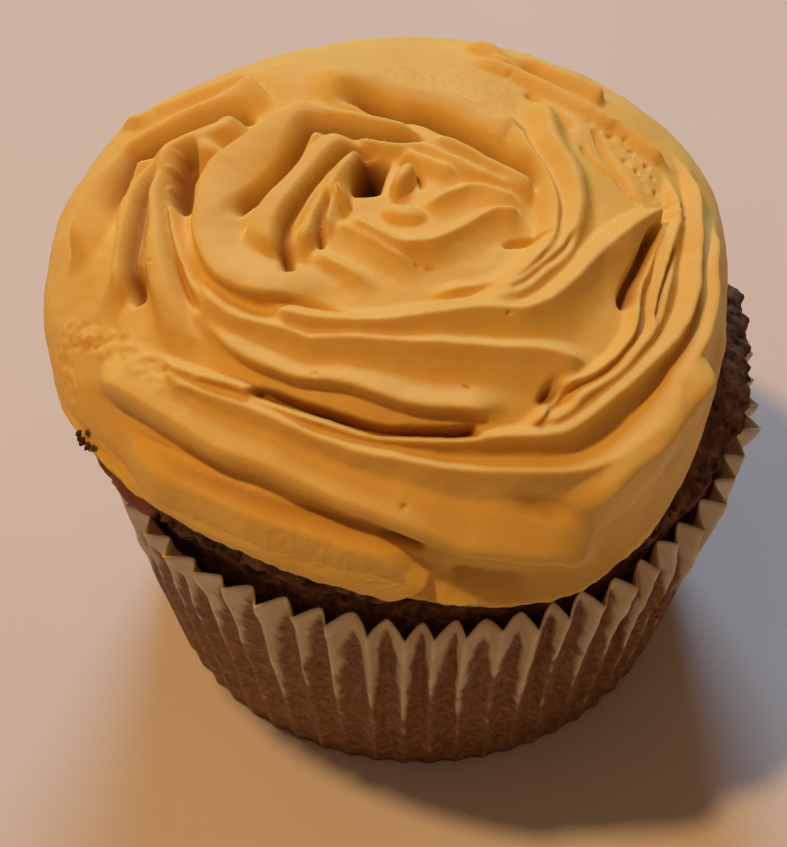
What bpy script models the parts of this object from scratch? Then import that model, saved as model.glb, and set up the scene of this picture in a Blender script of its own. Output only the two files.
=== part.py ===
# Cupcake in a pleated paper case, under one piped swirl of coffee-coloured buttercream.
# Metres, +Z up. The case stands on z = 0 and its axis is the Z axis; the front of the cake is -Y.
import math
from functools import cache

import bmesh
import bpy
import numpy as np

MM = 0.001

# Paper case
BASE_RADIUS = 25.0 * MM
CASE_HEIGHT = 28.2 * MM
FOLD_IN_RADIUS = 30.2 * MM
FOLD_OUT_RADIUS = 32.4 * MM
PAPER = 0.3 * MM
PLEATS = 59
PLEAT_PHASE = 259.4
FOOT_PLEAT = 0.35 * MM
RIM_DROP = 0.5 * MM
FOLD_WANDER = (0.9, 0.6)
FOLD_DEPTH = (0.8, 0.35)
WALL_LEVELS = (0.0, 0.35, 0.7, 1.0)

# Cake
GAP = 0.35 * MM
SIDE_CLEARANCE = 0.12 * MM
CAKE_TOP = 39.0 * MM
CROWN_START = 28.8 * MM
CROWN_ROUNDNESS = 0.75
FOOT_CHAMFER = 0.8 * MM
# reach of the crown and height of its widest line, every 30 degrees from +X
CROWN_REACH = (31.6, 31.2, 30.4, 30.0, 30.0, 30.5, 31.9, 33.4, 30.4, 29.7, 29.9, 30.8)
CROWN_LINE = (33.0, 33.0, 32.0, 32.0, 32.0, 32.0, 31.4, 30.9, 30.4, 30.2, 30.3, 31.0)
CRAG = 0.35 * MM
BULGE_LEVELS = (0.35, 0.75, 1.0)
CROWN_RINGS = (0.985, 0.94, 0.85, 0.68, 0.45, 0.22, 0.0)
CAKE_SECTORS = 72

# Buttercream
SWIRL_CENTRE = (-3.0 * MM, 0.5 * MM)
SWIRL_RADIUS = 32.5 * MM
SWIRL_TOP = 52.0 * MM
WIDEST_AT = 37.0 * MM
DOME_WIDTH_POWER = 0.92
DOME_HEIGHT_POWER = 1.18
# radius factor, extra height of the shoulder, height of the lower edge and how far that edge draws in
# under the shoulder, every 30 degrees
REACH = (0.99, 1.04, 1.02, 1.0, 1.0, 1.04, 1.04, 1.03, 0.94, 0.97, 1.04, 1.02)
RISE = (3.5, 5.0, 5.5, 5.5, 4.5, 4.0, 2.0, 1.0, 0.5, 0.5, 0.5, 2.0)
EDGE_AT = (34.0, 35.5, 35.0, 34.0, 34.0, 33.5, 33.0, 35.5, 35.0, 34.0, 31.5, 32.5)
EDGE_TUCK = (2.0, 2.0, 2.0, 2.0, 2.0, 2.0, 1.5, 0.0, -1.5, -1.5, -1.0, 0.5)
WALL = 5.9 * MM
WALL_CALM = 0.7
LEAN = 0.35
LEAN_FROM = 6.0 * MM
MEAN_LEVEL = 0.8 * MM
# the two powers of a flank: how broad its top is, how hollow its foot is
PROFILES = {"sharp": (1.0, 1.7), "even": (1.0, 1.15), "soft": (2.0, 2.0), "round": (2.0, 1.0),
            "step": (5.0, 1.0)}
MOUND_DIRECTION = 118.0
MOUND_DISTANCE = 20.5 * MM
MOUND_HEIGHT = 2.2 * MM
MOUND_WIDTH = 6.5 * MM
EDGE_LIFT = 0.3 * MM
LIP = 0.3 * MM
LIP_FROM = 0.86
LIP_FULL = 0.97
UNDER_RINGS = (0.955, 0.88, 0.75, 0.5, 0.25, 0.0)
SECTORS = 104
RINGS = 41

# Finding the traced crests on the swirl: net of degrees and mm, spots that count as near, small trial
# moves, and how far one round may move a place
LOWEST_END = 0.35
MEAN_CREST = 0.85
NET_TURN = 1.0
NET_STEP = 0.2
NET_REACH = 44.0
NEAR_SPOT = 2.2
NEAR_SHARE = 1.02
TRIAL = (0.5, 0.1)
LARGEST_MOVE = (4.0, 0.8)
PLACING_ROUNDS = 8
DAMPING = 0.8

# Place of the eye: the crests below were traced by eye in a picture of the cake seen from there
EYE_DISTANCE = 344.5 * MM
EYE_AIM = 20.0 * MM
EYE_ELEVATION = 47.9
EYE_ROLL = 2.06
EYE_FOCAL = 3500.0
PICTURE_MIDDLE = (421.3, 435.9)

# Ridges left by the star nozzle: name, height, width of the flank towards the centre and of the one
# away from it, length of the faded ends, all in mm, and the crest as (across, down) in the picture.
RIDGES = (
    ("left band one", 2.1, (2.3, "round"), (1.3, "round"), (1, 5),
     ((262, 83), (200, 104), (160, 122), (122, 146), (96, 176), (86, 196), (71, 245), (67, 275))),
    ("left band two", 2.1, (1.2, "step"), (2.6, "round"), (1, 5),
     ((244, 121), (180, 141), (165, 150), (142, 177), (124, 222), (119, 260), (110, 315))),
    ("left band three", 1.9, (1.7, "step"), (1.6, "round"), (2, 9),
     ((235, 146), (180, 148), (162, 164), (152, 190), (149, 245), (153, 285), (168, 325), (200, 357))),
    ("lower rope", 2.5, (4.6, "sharp"), (2.4, "round"), (5, 6),
     ((88, 366), (145, 403), (205, 439), (250, 458), (300, 482), (380, 514), (460, 545), (505, 553),
      (565, 558), (610, 545))),
    ("lobe", 2.3, (1.2, "round"), (10.0, "step"), (8, 1.0),
     ((110, 434), (140, 452), (200, 489), (320, 538), (430, 580))),
    ("front rope outer", 2.1, (1.2, "sharp"), (4.6, "sharp"), (4, 10),
     ((150, 362), (190, 388), (235, 404), (300, 433), (340, 443), (400, 458), (440, 465), (530, 472),
      (560, 468), (610, 462), (630, 452), (669, 417), (687, 374), (712, 330), (720, 292), (722, 250),
      (710, 197))),
    ("front rope inner", 2.0, (1.2, "step"), (2.3, "sharp"), (4, 10),
     ((150, 352), (180, 372), (240, 390), (300, 418), (360, 432), (385, 436), (460, 440), (530, 437),
      (576, 428), (608, 408), (640, 378), (678, 340), (698, 305), (706, 262), (704, 212), (693, 175),
      (672, 143))),
    ("right shoulder", 2.7, (2.6, "round"), (4.6, "even"), (6, 6),
     ((560, 520), (592, 503), (635, 478), (665, 450), (700, 403), (716, 350))),
    ("right seam", 1.6, (1.2, "step"), (1.2, "even"), (3, 3),
     ((510, 433), (543, 417), (575, 383), (605, 368), (635, 335), (648, 282), (668, 220))),
    ("right strand", 1.6, (1.2, "step"), (2.6, "even"), (3, 6),
     ((525, 430), (565, 413), (612, 378), (655, 328), (667, 290), (680, 225), (681, 205), (668, 166))),
    ("valley crest", 1.7, (3.4, "sharp"), (1.2, "step"), (8, 3.0),
     ((190, 302), (232, 342), (280, 369), (320, 378), (360, 382), (420, 400), (480, 407), (492, 413),
      (500, 424))),
    ("second loop front", 1.9, (2.0, "sharp"), (4.2, "sharp"), (5, 4),
     ((194, 268), (207, 290), (225, 307), (250, 319), (300, 334), (400, 339), (520, 345), (582, 361),
      (602, 373))),
    ("second loop fold", 2.3, (1.8, "even"), (4.6, "sharp"), (3, 1.2),
     ((262, 306), (300, 314), (340, 318), (450, 309), (525, 306), (561, 291), (604, 246), (658, 212))),
    ("second loop rear", 1.9, (1.5, "even"), (3.0, "soft"), (4, 5),
     ((455, 303), (485, 298), (525, 279), (558, 248), (577, 214), (579, 197), (571, 161), (551, 126),
      (532, 90))),
    ("second loop right", 1.9, (1.2, "round"), (1.8, "even"), (4, 5),
     ((470, 298), (495, 291), (532, 265), (546, 248), (559, 212), (553, 177), (544, 159), (515, 127),
      (495, 114))),
    ("second loop back", 1.8, (2.5, "round"), (3.0, "soft"), (3, 4),
     ((531, 142), (495, 114), (440, 92), (410, 84), (350, 72), (300, 76))),
    ("inner loop rear", 1.8, (1.7, "round"), (1.2, "even"), (4, 3),
     ((543, 205), (537, 188), (510, 164), (445, 132), (395, 118), (315, 103), (295, 104), (270, 113))),
    ("inner loop left", 2.2, (4.4, "round"), (1.2, "round"), (4, 7),
     ((330, 105), (290, 105), (270, 113), (216, 153), (198, 183), (193, 222), (205, 258), (218, 271),
      (256, 287), (280, 291), (335, 301))),
    ("band one rear", 1.5, (1.2, "even"), (1.2, "even"), (3, 3),
     ((528, 194), (485, 167), (445, 148), (420, 140), (380, 137), (340, 131))),
    ("band one", 1.9, (3.3, "step"), (1.2, "step"), (3, 5),
     ((365, 136), (332, 135), (318, 142), (298, 165), (262, 208), (250, 240), (253, 256), (262, 270))),
    ("band two", 1.8, (1.2, "step"), (1.2, "even"), (2, 4),
     ((372, 147), (343, 160), (322, 187), (301, 232), (301, 248), (308, 262))),
    ("hole rim", 1.7, (1.2, "even"), (1.2, "even"), (0.8, 3),
     ((362, 151), (340, 169), (334, 183), (325, 226), (330, 240))),
    ("centre fold", 1.8, (1.2, "even"), (3.2, "sharp"), (2, 2),
     ((352, 208), (362, 218), (398, 236), (420, 238), (440, 233), (495, 207), (512, 206), (527, 211))),
    ("rear strip", 1.5, (1.2, "even"), (1.4, "round"), (1, 4),
     ((604, 102), (560, 68), (540, 58), (500, 46), (455, 40))),
)

# Grooves between the turns of the swirl, in the same form; beside its depth stands the height of the
# buttercream, mm over the mean surface, at which a groove was traced.
GROOVES = (
    ("slot one", (2.5, 0.6), (1.2, "even"), (1.4, "even"), (1.2, 6),
     ((251, 105), (220, 115), (180, 131), (127, 161), (110, 190), (103, 225))),
    ("slot two rear", (2.0, 0.6), (1.2, "even"), (1.2, "even"), (1.0, 3),
     ((243, 135), (205, 145))),
    ("slot two", (2.7, 0.3), (1.3, "even"), (1.2, "even"), (5, 1.2),
     ((166, 157), (136, 207), (129, 240), (127, 302))),
    ("pocket", (2.6, 0.1), (1.2, "round"), (1.2, "round"), (1.5, 2),
     ((205, 152), (192, 158), (184, 168), (179, 182), (178, 212))),
    ("under lower rope", (1.7, 0.2), (1.2, "even"), (1.2, "even"), (16, 1),
     ((110, 419), (150, 446), (190, 470), (230, 489), (330, 525), (428, 555))),
    ("front slot", (3.0, -0.3), (1.2, "round"), (1.2, "even"), (0.6, 0.6),
     ((252, 392), (300, 411), (340, 421), (380, 431), (430, 434), (480, 431))),
    ("right pocket", (2.2, -0.3), (1.2, "round"), (1.2, "even"), (2, 2),
     ((541, 412), (568, 383))),
    ("right pocket upper", (2.3, 0.0), (1.3, "round"), (1.2, "even"), (2, 2.5),
     ((633, 310), (637, 283), (662, 222))),
    ("slot a", (2.1, 0.6), (1.2, "even"), (1.2, "round"), (4, 4),
     ((541, 192), (536, 177), (515, 153), (460, 122), (400, 105), (355, 91), (320, 88))),
    ("slot b", (2.4, 0.6), (1.2, "even"), (1.2, "round"), (4, 3),
     ((445, 141), (430, 135), (380, 132), (340, 124), (306, 129), (277, 165), (243, 198), (231, 222))),
    ("slot c", (2.6, 0.5), (1.2, "even"), (1.2, "even"), (3, 0.8),
     ((384, 141), (354, 144), (341, 150), (305, 187), (282, 227), (284, 271))),
    ("slot d", (2.0, 0.3), (1.2, "even"), (1.2, "even"), (1.5, 0.8),
     ((330, 190), (319, 216), (319, 242))),
    ("hole", (5.5, -0.6), (1.35, "round"), (1.35, "round"), (1.2, 1.2),
     ((378, 156), (371, 168), (367, 194))),
)


def remove_everything():
    for item in list(bpy.data.objects):
        bpy.data.objects.remove(item, do_unlink=True)


def around(values, degrees):
    # smooth closed curve through evenly spaced values
    count = len(values)
    step = 360.0 / count
    place = (np.asarray(degrees, float) % 360.0) / step
    index = np.floor(place).astype(int)
    part = place - index
    data = np.asarray(values, float)
    before = data[(index - 1) % count]
    first = data[index % count]
    second = data[(index + 1) % count]
    after = data[(index + 2) % count]
    slope_a = (second - before) / 2
    slope_b = (after - first) / 2
    squared = part * part
    cubed = squared * part
    return (first * (2 * cubed - 3 * squared + 1) + slope_a * (cubed - 2 * squared + part)
            + second * (3 * squared - 2 * cubed) + slope_b * (cubed - squared))


def smooth_line(points, steps=7):
    # Catmull-Rom line through the crest points, laid out flat as seen over the dome
    flat = [(s * MM * math.cos(math.radians(a)), s * MM * math.sin(math.radians(a))) for a, s in points]
    knots = np.array([flat[0]] + flat + [flat[-1]])
    line = []
    for k in range(1, len(knots) - 2):
        for j in range(steps):
            t = j / steps
            p0, p1, p2, p3 = knots[k - 1], knots[k], knots[k + 1], knots[k + 2]
            line.append(0.5 * (2 * p1 + (p2 - p0) * t + (2 * p0 - 5 * p1 + 4 * p2 - p3) * t * t
                               + (3 * p1 - p0 - 3 * p2 + p3) * t ** 3))
    line.append(knots[-2])
    return np.array(line)


def smooth_step(part):
    part = np.clip(part, 0.0, 1.0)
    return part * part * (3 - 2 * part)


def ridge_height(flat, ridge):
    # height of one crest over the laid-out points: shaped flanks, faded ends
    name, height, inner, outer, fade, line = ridge
    start = line[:-1]
    span = line[1:] - start
    length = np.hypot(span[:, 0], span[:, 1])
    along = np.concatenate([[0.0], np.cumsum(length)])
    best = np.full(len(flat), 1e9)
    side = np.zeros(len(flat))
    place = np.zeros(len(flat))
    for k in range(len(start)):
        offset = flat - start[k]
        t = np.clip((offset @ span[k]) / max(length[k] ** 2, 1e-12), 0.0, 1.0)
        gap = offset - t[:, None] * span[k]
        distance = np.hypot(gap[:, 0], gap[:, 1])
        closer = distance < best
        best[closer] = distance[closer]
        turn = span[k][0] * gap[:, 1] - span[k][1] * gap[:, 0]
        side[closer] = turn[closer]
        place[closer] = (along[k] + t * length[k])[closer]
    inside = side > 0
    (top_in, foot_in), (top_out, foot_out) = PROFILES[inner[1]], PROFILES[outer[1]]
    width = np.where(inside, inner[0], outer[0]) * MM
    part = np.clip(best / width, 0.0, 1.0) ** np.where(inside, top_in, top_out)
    flank = (1.0 - part) ** np.where(inside, foot_in, foot_out)
    ends = smooth_step(place / (fade[0] * MM)) * smooth_step((along[-1] - place) / (fade[1] * MM))
    return height * MM * flank * ends


def pictured(points):
    # where points are seen in the picture, and how far they are from the eye
    tilt = math.radians(EYE_ELEVATION)
    roll = math.radians(EYE_ROLL)
    right = np.array([1.0, 0.0, 0.0])
    up = np.array([0.0, math.sin(tilt), math.cos(tilt)])
    back = np.array([0.0, -math.cos(tilt), math.sin(tilt)])
    offset = points - np.array([0.0, 0.0, EYE_AIM])
    depth = EYE_DISTANCE - offset @ back
    across = EYE_FOCAL * (offset @ (right * math.cos(roll) + up * math.sin(roll))) / depth
    down = EYE_FOCAL * (offset @ (right * math.sin(roll) - up * math.cos(roll))) / depth
    return np.stack([PICTURE_MIDDLE[0] + across, PICTURE_MIDDLE[1] + down], axis=1), depth


def seen_at(degrees, distance, level):
    # the same for places on the swirl, distance and level of the buttercream in mm
    angle = np.radians(degrees)
    flat = np.stack([distance * np.cos(angle), distance * np.sin(angle)], axis=1) * MM
    return pictured(np.stack(swirl_points(degrees, distance * MM, level * MM + mound(flat)), axis=1))


@cache
def swirl_net(level):
    # a fine net over the swirl at one level
    net = np.meshgrid(np.arange(0.0, 360.0, NET_TURN), np.arange(NET_STEP, NET_REACH, NET_STEP))
    degrees, distance = net[0].ravel(), net[1].ravel()
    return degrees, distance, *seen_at(degrees, distance, np.full(len(degrees), level))


def level_of(places, height, fade):
    # a plain level, or that of a crest whose ends fade out
    if fade is None:
        return np.full(len(places), float(height))
    angle = np.radians(places[:, 0])
    steps = np.hypot(np.diff(places[:, 1] * np.cos(angle)), np.diff(places[:, 1] * np.sin(angle)))
    along = np.concatenate([[0.0], np.cumsum(steps)])
    ends = smooth_step(along / fade[0]) * smooth_step((along[-1] - along) / fade[1])
    return height * np.maximum(ends, LOWEST_END) - MEAN_LEVEL / MM


def place_traced(traced, height, fade=None):
    # places on the swirl, (degrees, mm over the dome), seen at the traced spots of the picture:
    # first the front mark of the net there, then a few steps closer
    traced = np.array(traced, float)
    guess = height if fade is None else MEAN_CREST * height - MEAN_LEVEL / MM
    degrees, distance, spots, depth = swirl_net(round(guess, 1))
    places = np.zeros((len(traced), 2))
    for k, spot in enumerate(traced):
        miss = np.hypot(*(spots - spot).T)
        near = miss < max(NEAR_SPOT, NEAR_SHARE * miss.min())
        front = np.argmin(np.where(near, depth, np.inf))
        places[k] = degrees[front], distance[front]
    for attempt in range(PLACING_ROUNDS):
        level = level_of(places, height, fade)
        here = seen_at(places[:, 0], places[:, 1], level)[0]
        turned = (seen_at(places[:, 0] + TRIAL[0], places[:, 1], level)[0] - here) / TRIAL[0]
        moved = (seen_at(places[:, 0], places[:, 1] + TRIAL[1], level)[0] - here) / TRIAL[1]
        for k, miss in enumerate(traced - here):
            slopes = np.stack([turned[k], moved[k]], axis=1)
            step = np.linalg.solve(slopes.T @ slopes + DAMPING * np.eye(2), slopes.T @ miss)
            places[k] += np.clip(DAMPING * step, np.negative(LARGEST_MOVE), LARGEST_MOVE)
        places[:, 1] = np.clip(places[:, 1], NET_STEP, NET_REACH)
    return places


@cache
def placed_rows():
    # ridges and grooves with their lines laid out flat over the dome
    crests = [(name, height, inner, outer, fade, smooth_line(place_traced(traced, height, fade)))
              for name, height, inner, outer, fade, traced in RIDGES]
    cuts = [(name, depth, inner, outer, fade, smooth_line(place_traced(traced, level)))
            for name, (depth, level), inner, outer, fade, traced in GROOVES]
    return crests, cuts


def swirl_relief(flat):
    # total height of ridges over grooves
    crests, cuts = placed_rows()
    crest = np.zeros(len(flat))
    for ridge in crests:
        crest = np.maximum(crest, ridge_height(flat, ridge))
    valley = np.zeros(len(flat))
    for groove in cuts:
        valley = np.maximum(valley, ridge_height(flat, groove))
    return crest - valley - MEAN_LEVEL


def even_relief(degrees, distance):
    # relief averaged over the area that one corner of the surface stands for
    turn = 120.0 / SECTORS
    step = (SWIRL_TOP - WIDEST_AT + SWIRL_RADIUS) / RINGS / 4
    total = np.zeros(len(distance))
    for across, out in ((0, 0), (0, 0), (1, 0), (-1, 0), (0, 1), (0, -1)):
        angle = np.radians(degrees + across * turn)
        reach = np.maximum(np.asarray(distance) + out * step, 0.0)
        total += swirl_relief(np.stack([reach * np.cos(angle), reach * np.sin(angle)], axis=1))
    return total / 6


def mound(flat):
    # the second turn stands higher where the rope climbs over itself at the rear left
    turn = math.radians(MOUND_DIRECTION)
    centre = np.array([math.cos(turn), math.sin(turn)]) * MOUND_DISTANCE
    reach = np.hypot(flat[:, 0] - centre[0], flat[:, 1] - centre[1])
    return MOUND_HEIGHT * np.exp(-(reach / MOUND_WIDTH) ** 2)


def dome_section(count=500):
    # section of the swirl from the top out to its widest line: radius, height, distance
    t = np.linspace(0.0, math.pi / 2, count)
    radius = SWIRL_RADIUS * np.sin(t) ** DOME_WIDTH_POWER
    height = WIDEST_AT + (SWIRL_TOP - WIDEST_AT) * np.clip(np.cos(t), 0, 1) ** DOME_HEIGHT_POWER
    distance = np.concatenate([[0.0], np.cumsum(np.hypot(np.diff(radius), np.diff(height)))])
    return radius, height, distance


def swirl_points(degrees, distance, lift):
    # points of the swirl for given directions, distances over the dome and heights of the buttercream
    radius, height, length = dome_section()
    leaned = distance + LEAN * np.maximum(lift, 0.0) * np.clip(distance / LEAN_FROM, 0, 1)
    leaned = np.minimum(leaned, length[-1] + WALL)
    on_wall = np.clip((leaned - length[-1]) / WALL, 0.0, 1.0)
    r = np.interp(leaned, length, radius)
    z = np.interp(leaned, length, height) + around(RISE, degrees) * MM * (leaned / length[-1]) ** 2
    nr = -np.interp(leaned, length, np.gradient(height, length))
    nz = np.interp(leaned, length, np.gradient(radius, length))
    size = np.hypot(nr, nz)
    nr = nr / size
    nz = nz / size
    edge = around(EDGE_AT, degrees) * MM
    r = r * around(REACH, degrees) - around(EDGE_TUCK, degrees) * MM * on_wall ** 1.5
    z = z - on_wall * (WIDEST_AT - edge)
    settle = 1.0 - WALL_CALM * on_wall ** 3
    r = r + nr * lift * settle
    z = z + nz * lift * settle
    x = SWIRL_CENTRE[0] + r * np.cos(np.radians(degrees))
    y = SWIRL_CENTRE[1] + r * np.sin(np.radians(degrees))
    resting = crown_height(x, y) + GAP + EDGE_LIFT
    return x, y, np.maximum(z, resting)


def crown_height(x, y):
    # top of the cake under the buttercream
    reach = np.hypot(x, y)
    degrees = np.degrees(np.arctan2(y, x))
    edge = around(CROWN_REACH, degrees) * MM
    line = around(CROWN_LINE, degrees) * MM
    part = np.clip(reach / edge, 0.0, 1.0)
    return line + (CAKE_TOP - line) * (1.0 - part ** 2) ** CROWN_ROUNDNESS


def material(name, colour, roughness):
    item = bpy.data.materials.new(name)
    item.use_nodes = True
    shader = item.node_tree.nodes["Principled BSDF"]
    shader.inputs["Base Color"].default_value = (*colour, 1.0)
    shader.inputs["Roughness"].default_value = roughness
    item.diffuse_color = (*colour, 1.0)
    return item


def turned(name, profile, sectors, look):
    # a line of (radius, height) points turned about the Z axis by a Screw modifier
    line = bpy.data.meshes.new(name + "_profile")
    edges = [(k, k + 1) for k in range(len(profile) - 1)]
    line.from_pydata([(radius, 0.0, z) for radius, z in profile], edges, [])
    item = bpy.data.objects.new(name, line)
    COLLECTION.objects.link(item)
    screw = item.modifiers.new("turn", "SCREW")
    screw.axis = "Z"
    screw.steps = sectors
    screw.render_steps = sectors
    screw.use_merge_vertices = True
    screw.merge_threshold = 0.00001
    bpy.context.view_layer.update()
    graph = bpy.context.evaluated_depsgraph_get()
    item.data = bpy.data.meshes.new_from_object(item.evaluated_get(graph))
    item.data.name = name
    item.modifiers.clear()
    bpy.data.meshes.remove(line)
    item.data.materials.append(look)
    return item


def places(item):
    # direction in degrees, distance from the axis and height of every corner
    flat = np.zeros(3 * len(item.data.vertices))
    item.data.vertices.foreach_get("co", flat)
    x, y, z = flat.reshape(-1, 3).T
    return np.degrees(np.arctan2(y, x)) % 360.0, np.hypot(x, y), z


def move_corners(item, x, y, z):
    item.data.vertices.foreach_set("co", np.stack([x, y, z], axis=1).ravel())
    item.data.update()
    work = bmesh.new()
    work.from_mesh(item.data)
    bmesh.ops.recalc_face_normals(work, faces=work.faces)
    work.to_mesh(item.data)
    work.free()


def make_paper_case():
    # a turned cup, folded into pleats, then given the thickness of the paper
    look = material("white baking paper", (0.75, 0.70, 0.62), 0.75)
    flare = FOLD_IN_RADIUS - BASE_RADIUS
    profile = [(0.0, 0.0), (0.9 * BASE_RADIUS, 0.0)]
    profile += [(BASE_RADIUS + part * flare, part * CASE_HEIGHT) for part in WALL_LEVELS]
    item = turned("paper_case", profile, 2 * PLEATS, look)
    degrees, radius, z = places(item)
    part = z / CASE_HEIGHT
    fold = np.round(degrees * PLEATS / 180.0)
    inward = fold % 2 == 0
    wander = FOLD_WANDER[0] * np.sin(1.7 * fold) + FOLD_WANDER[1] * np.sin(0.61 * fold + 1.0)
    uneven = FOLD_DEPTH[0] + FOLD_DEPTH[1] * np.sin(2.3 * fold + 0.4) * np.sin(0.37 * fold)
    depth = (FOLD_OUT_RADIUS - FOLD_IN_RADIUS) * uneven * part
    foot = np.where(inward, -FOOT_PLEAT / 2, FOOT_PLEAT / 2) * (1.0 - part)
    wall = radius > 0.95 * BASE_RADIUS
    radius = radius + np.where(wall, foot + np.where(inward, 0.0, depth), 0.0)
    z = z - np.where(inward, 0.0, RIM_DROP) * part
    angle = np.radians(degrees + PLEAT_PHASE + wander * part)
    move_corners(item, radius * np.cos(angle), radius * np.sin(angle), z)
    paper = item.modifiers.new("paper", "SOLIDIFY")
    paper.thickness = PAPER
    paper.offset = -1.0
    paper.use_even_offset = True
    return item


def cake_side(z):
    # radius of the cake where it stands in the case
    part = z / CASE_HEIGHT
    foot = BASE_RADIUS - FOOT_PLEAT / 2
    return foot + (FOLD_IN_RADIUS - foot) * part - PAPER - GAP - SIDE_CLEARANCE


def make_cake():
    # a turned body whose crown then bulges over the rim, more on two sides, with a craggy edge
    look = material("coffee sponge", (0.105, 0.045, 0.022), 0.85)
    low = PAPER + GAP
    side = [(0.0, low), (cake_side(low) - FOOT_CHAMFER, low)]
    side += [(cake_side(z), z) for z in (low + FOOT_CHAMFER, CASE_HEIGHT / 2, CASE_HEIGHT)]
    # the crown is turned as marks, at z 1 to 2 for the bulge and z 3 for the top, then laid out
    marks = [(1.0, 1.0 + part) for part in BULGE_LEVELS] + [(part, 3.0) for part in CROWN_RINGS]
    item = turned("cake", side + marks, CAKE_SECTORS, look)
    degrees, radius, z = places(item)
    angle = np.radians(degrees)
    reach = around(CROWN_REACH, degrees) * MM
    line = around(CROWN_LINE, degrees) * MM
    rim = cake_side(CASE_HEIGHT)
    on_bulge = (z > 1.0) & (z < 2.5)
    on_crown = z > 2.5
    part = np.where(on_bulge, z - 1.0, 1.0)
    swollen = rim + (reach - rim) * np.sin(part * math.pi / 2)
    share = np.where(on_crown, radius, 0.0)
    domed = crown_height(reach * share * np.cos(angle), reach * share * np.sin(angle))
    crag = (part > 0.5) & (radius > 0.9)
    rough = CRAG * (np.sin(degrees * 0.61 + 17 * radius) * np.sin(degrees * 0.23 + 9 * z) - 0.5)
    new_radius = np.where(on_crown, reach * radius, np.where(on_bulge, swollen, radius))
    new_radius = new_radius + np.where(crag, rough, 0.0)
    new_z = np.where(on_crown, domed, np.where(on_bulge, CROWN_START + (line - CROWN_START) * part, z))
    move_corners(item, new_radius * np.cos(angle), new_radius * np.sin(angle), new_z)
    return item


def make_buttercream():
    # a flat disc of two skins, turned, then draped: the upper skin becomes the piped swirl
    # and the lower one lies on the crown of the cake
    look = material("coffee buttercream", (0.58, 0.32, 0.11), 0.45)
    total = dome_section()[2][-1] + WALL
    upper = [(total * k / RINGS, 0.0) for k in range(RINGS + 1)]
    lower = [(total * part, -1.0) for part in UNDER_RINGS]
    item = turned("buttercream", upper + lower, SECTORS, look)
    degrees, distance, z = places(item)
    below = z < -0.5
    share = np.where(below, distance / total, 1.0)
    distance = np.where(below, total, distance)
    angle = np.radians(degrees)
    flat = np.stack([distance * np.cos(angle), distance * np.sin(angle)], axis=1)
    x, y, z = swirl_points(degrees, distance, even_relief(degrees, distance) + mound(flat))
    x = SWIRL_CENTRE[0] + (x - SWIRL_CENTRE[0]) * share
    y = SWIRL_CENTRE[1] + (y - SWIRL_CENTRE[1]) * share
    # the lip hangs free over the cake, and further in the lower skin lies on the crown
    resting = crown_height(x, y) + GAP
    part = np.clip((share - LIP_FROM) / (LIP_FULL - LIP_FROM), 0.0, 1.0)
    hanging = resting + (z - LIP - resting) * part * part * (3 - 2 * part)
    z = np.where(below, np.maximum(hanging, resting), z)
    move_corners(item, x, y, z)
    return item


COLLECTION = bpy.data.collections.new("cappuccino_muffin")
bpy.context.scene.collection.children.link(COLLECTION)
remove_everything()
make_paper_case()
make_cake()
make_buttercream()
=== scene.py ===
import math
import random
from functools import cache

import bmesh
import bpy
import numpy as np
from mathutils import Matrix, Vector, noise


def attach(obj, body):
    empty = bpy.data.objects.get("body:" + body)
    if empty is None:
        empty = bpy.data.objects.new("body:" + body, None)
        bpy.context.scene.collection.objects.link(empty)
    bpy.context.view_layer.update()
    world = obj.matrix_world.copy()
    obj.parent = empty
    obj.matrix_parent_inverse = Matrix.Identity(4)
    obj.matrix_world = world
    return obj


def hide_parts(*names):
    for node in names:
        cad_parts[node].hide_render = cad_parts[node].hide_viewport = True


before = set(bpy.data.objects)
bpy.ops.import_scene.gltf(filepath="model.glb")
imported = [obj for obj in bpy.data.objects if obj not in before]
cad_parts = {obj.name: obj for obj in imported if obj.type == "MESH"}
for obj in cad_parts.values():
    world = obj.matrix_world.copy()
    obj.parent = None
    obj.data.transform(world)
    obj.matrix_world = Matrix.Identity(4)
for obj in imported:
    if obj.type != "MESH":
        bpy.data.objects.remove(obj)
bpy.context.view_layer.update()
mm = 0.001
print("frame loaded")


def startClean():
    if bpy.context.object and bpy.context.object.mode != "OBJECT":
        bpy.ops.object.mode_set(mode="OBJECT")
    bpy.ops.object.select_all(action="DESELECT")


def choose(piece):
    startClean()
    piece.select_set(True)
    bpy.context.view_layer.objects.active = piece


def finishWith(piece, kind, **settings):
    # one modifier, applied at once
    choose(piece)
    step = piece.modifiers.new(kind.lower(), kind)
    for key, value in settings.items():
        setattr(step, key, value)
    bpy.ops.object.modifier_apply(modifier=step.name)


def spunSheet(name, chain, steps):
    # one corner of a plane, drawn out along the points of the chain and spun round the Z axis
    startClean()
    bpy.ops.mesh.primitive_plane_add(size=0.01)
    piece = bpy.context.object
    piece.name = name
    bpy.ops.object.mode_set(mode="EDIT")
    bpy.ops.mesh.select_mode(type="VERT")
    work = bmesh.from_edit_mesh(piece.data)
    work.verts.ensure_lookup_table()
    bmesh.ops.delete(work, geom=work.verts[1:], context="VERTS")
    work.verts.ensure_lookup_table()
    work.verts[0].co = chain[0]
    work.verts[0].select = True
    bmesh.update_edit_mesh(piece.data)
    for here, there in zip(chain[:-1], chain[1:]):
        step = Vector(there) - Vector(here)
        bpy.ops.mesh.extrude_region_move(TRANSFORM_OT_translate={"value": step})
    bpy.ops.object.mode_set(mode="OBJECT")
    finishWith(piece, "SCREW", axis="Z", steps=steps, render_steps=steps, use_merge_vertices=True,
               merge_threshold=0.001 * mm)
    return piece


def corners(piece):
    flat = np.zeros(3 * len(piece.data.vertices))
    piece.data.vertices.foreach_get("co", flat)
    return flat.reshape(-1, 3)


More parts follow.
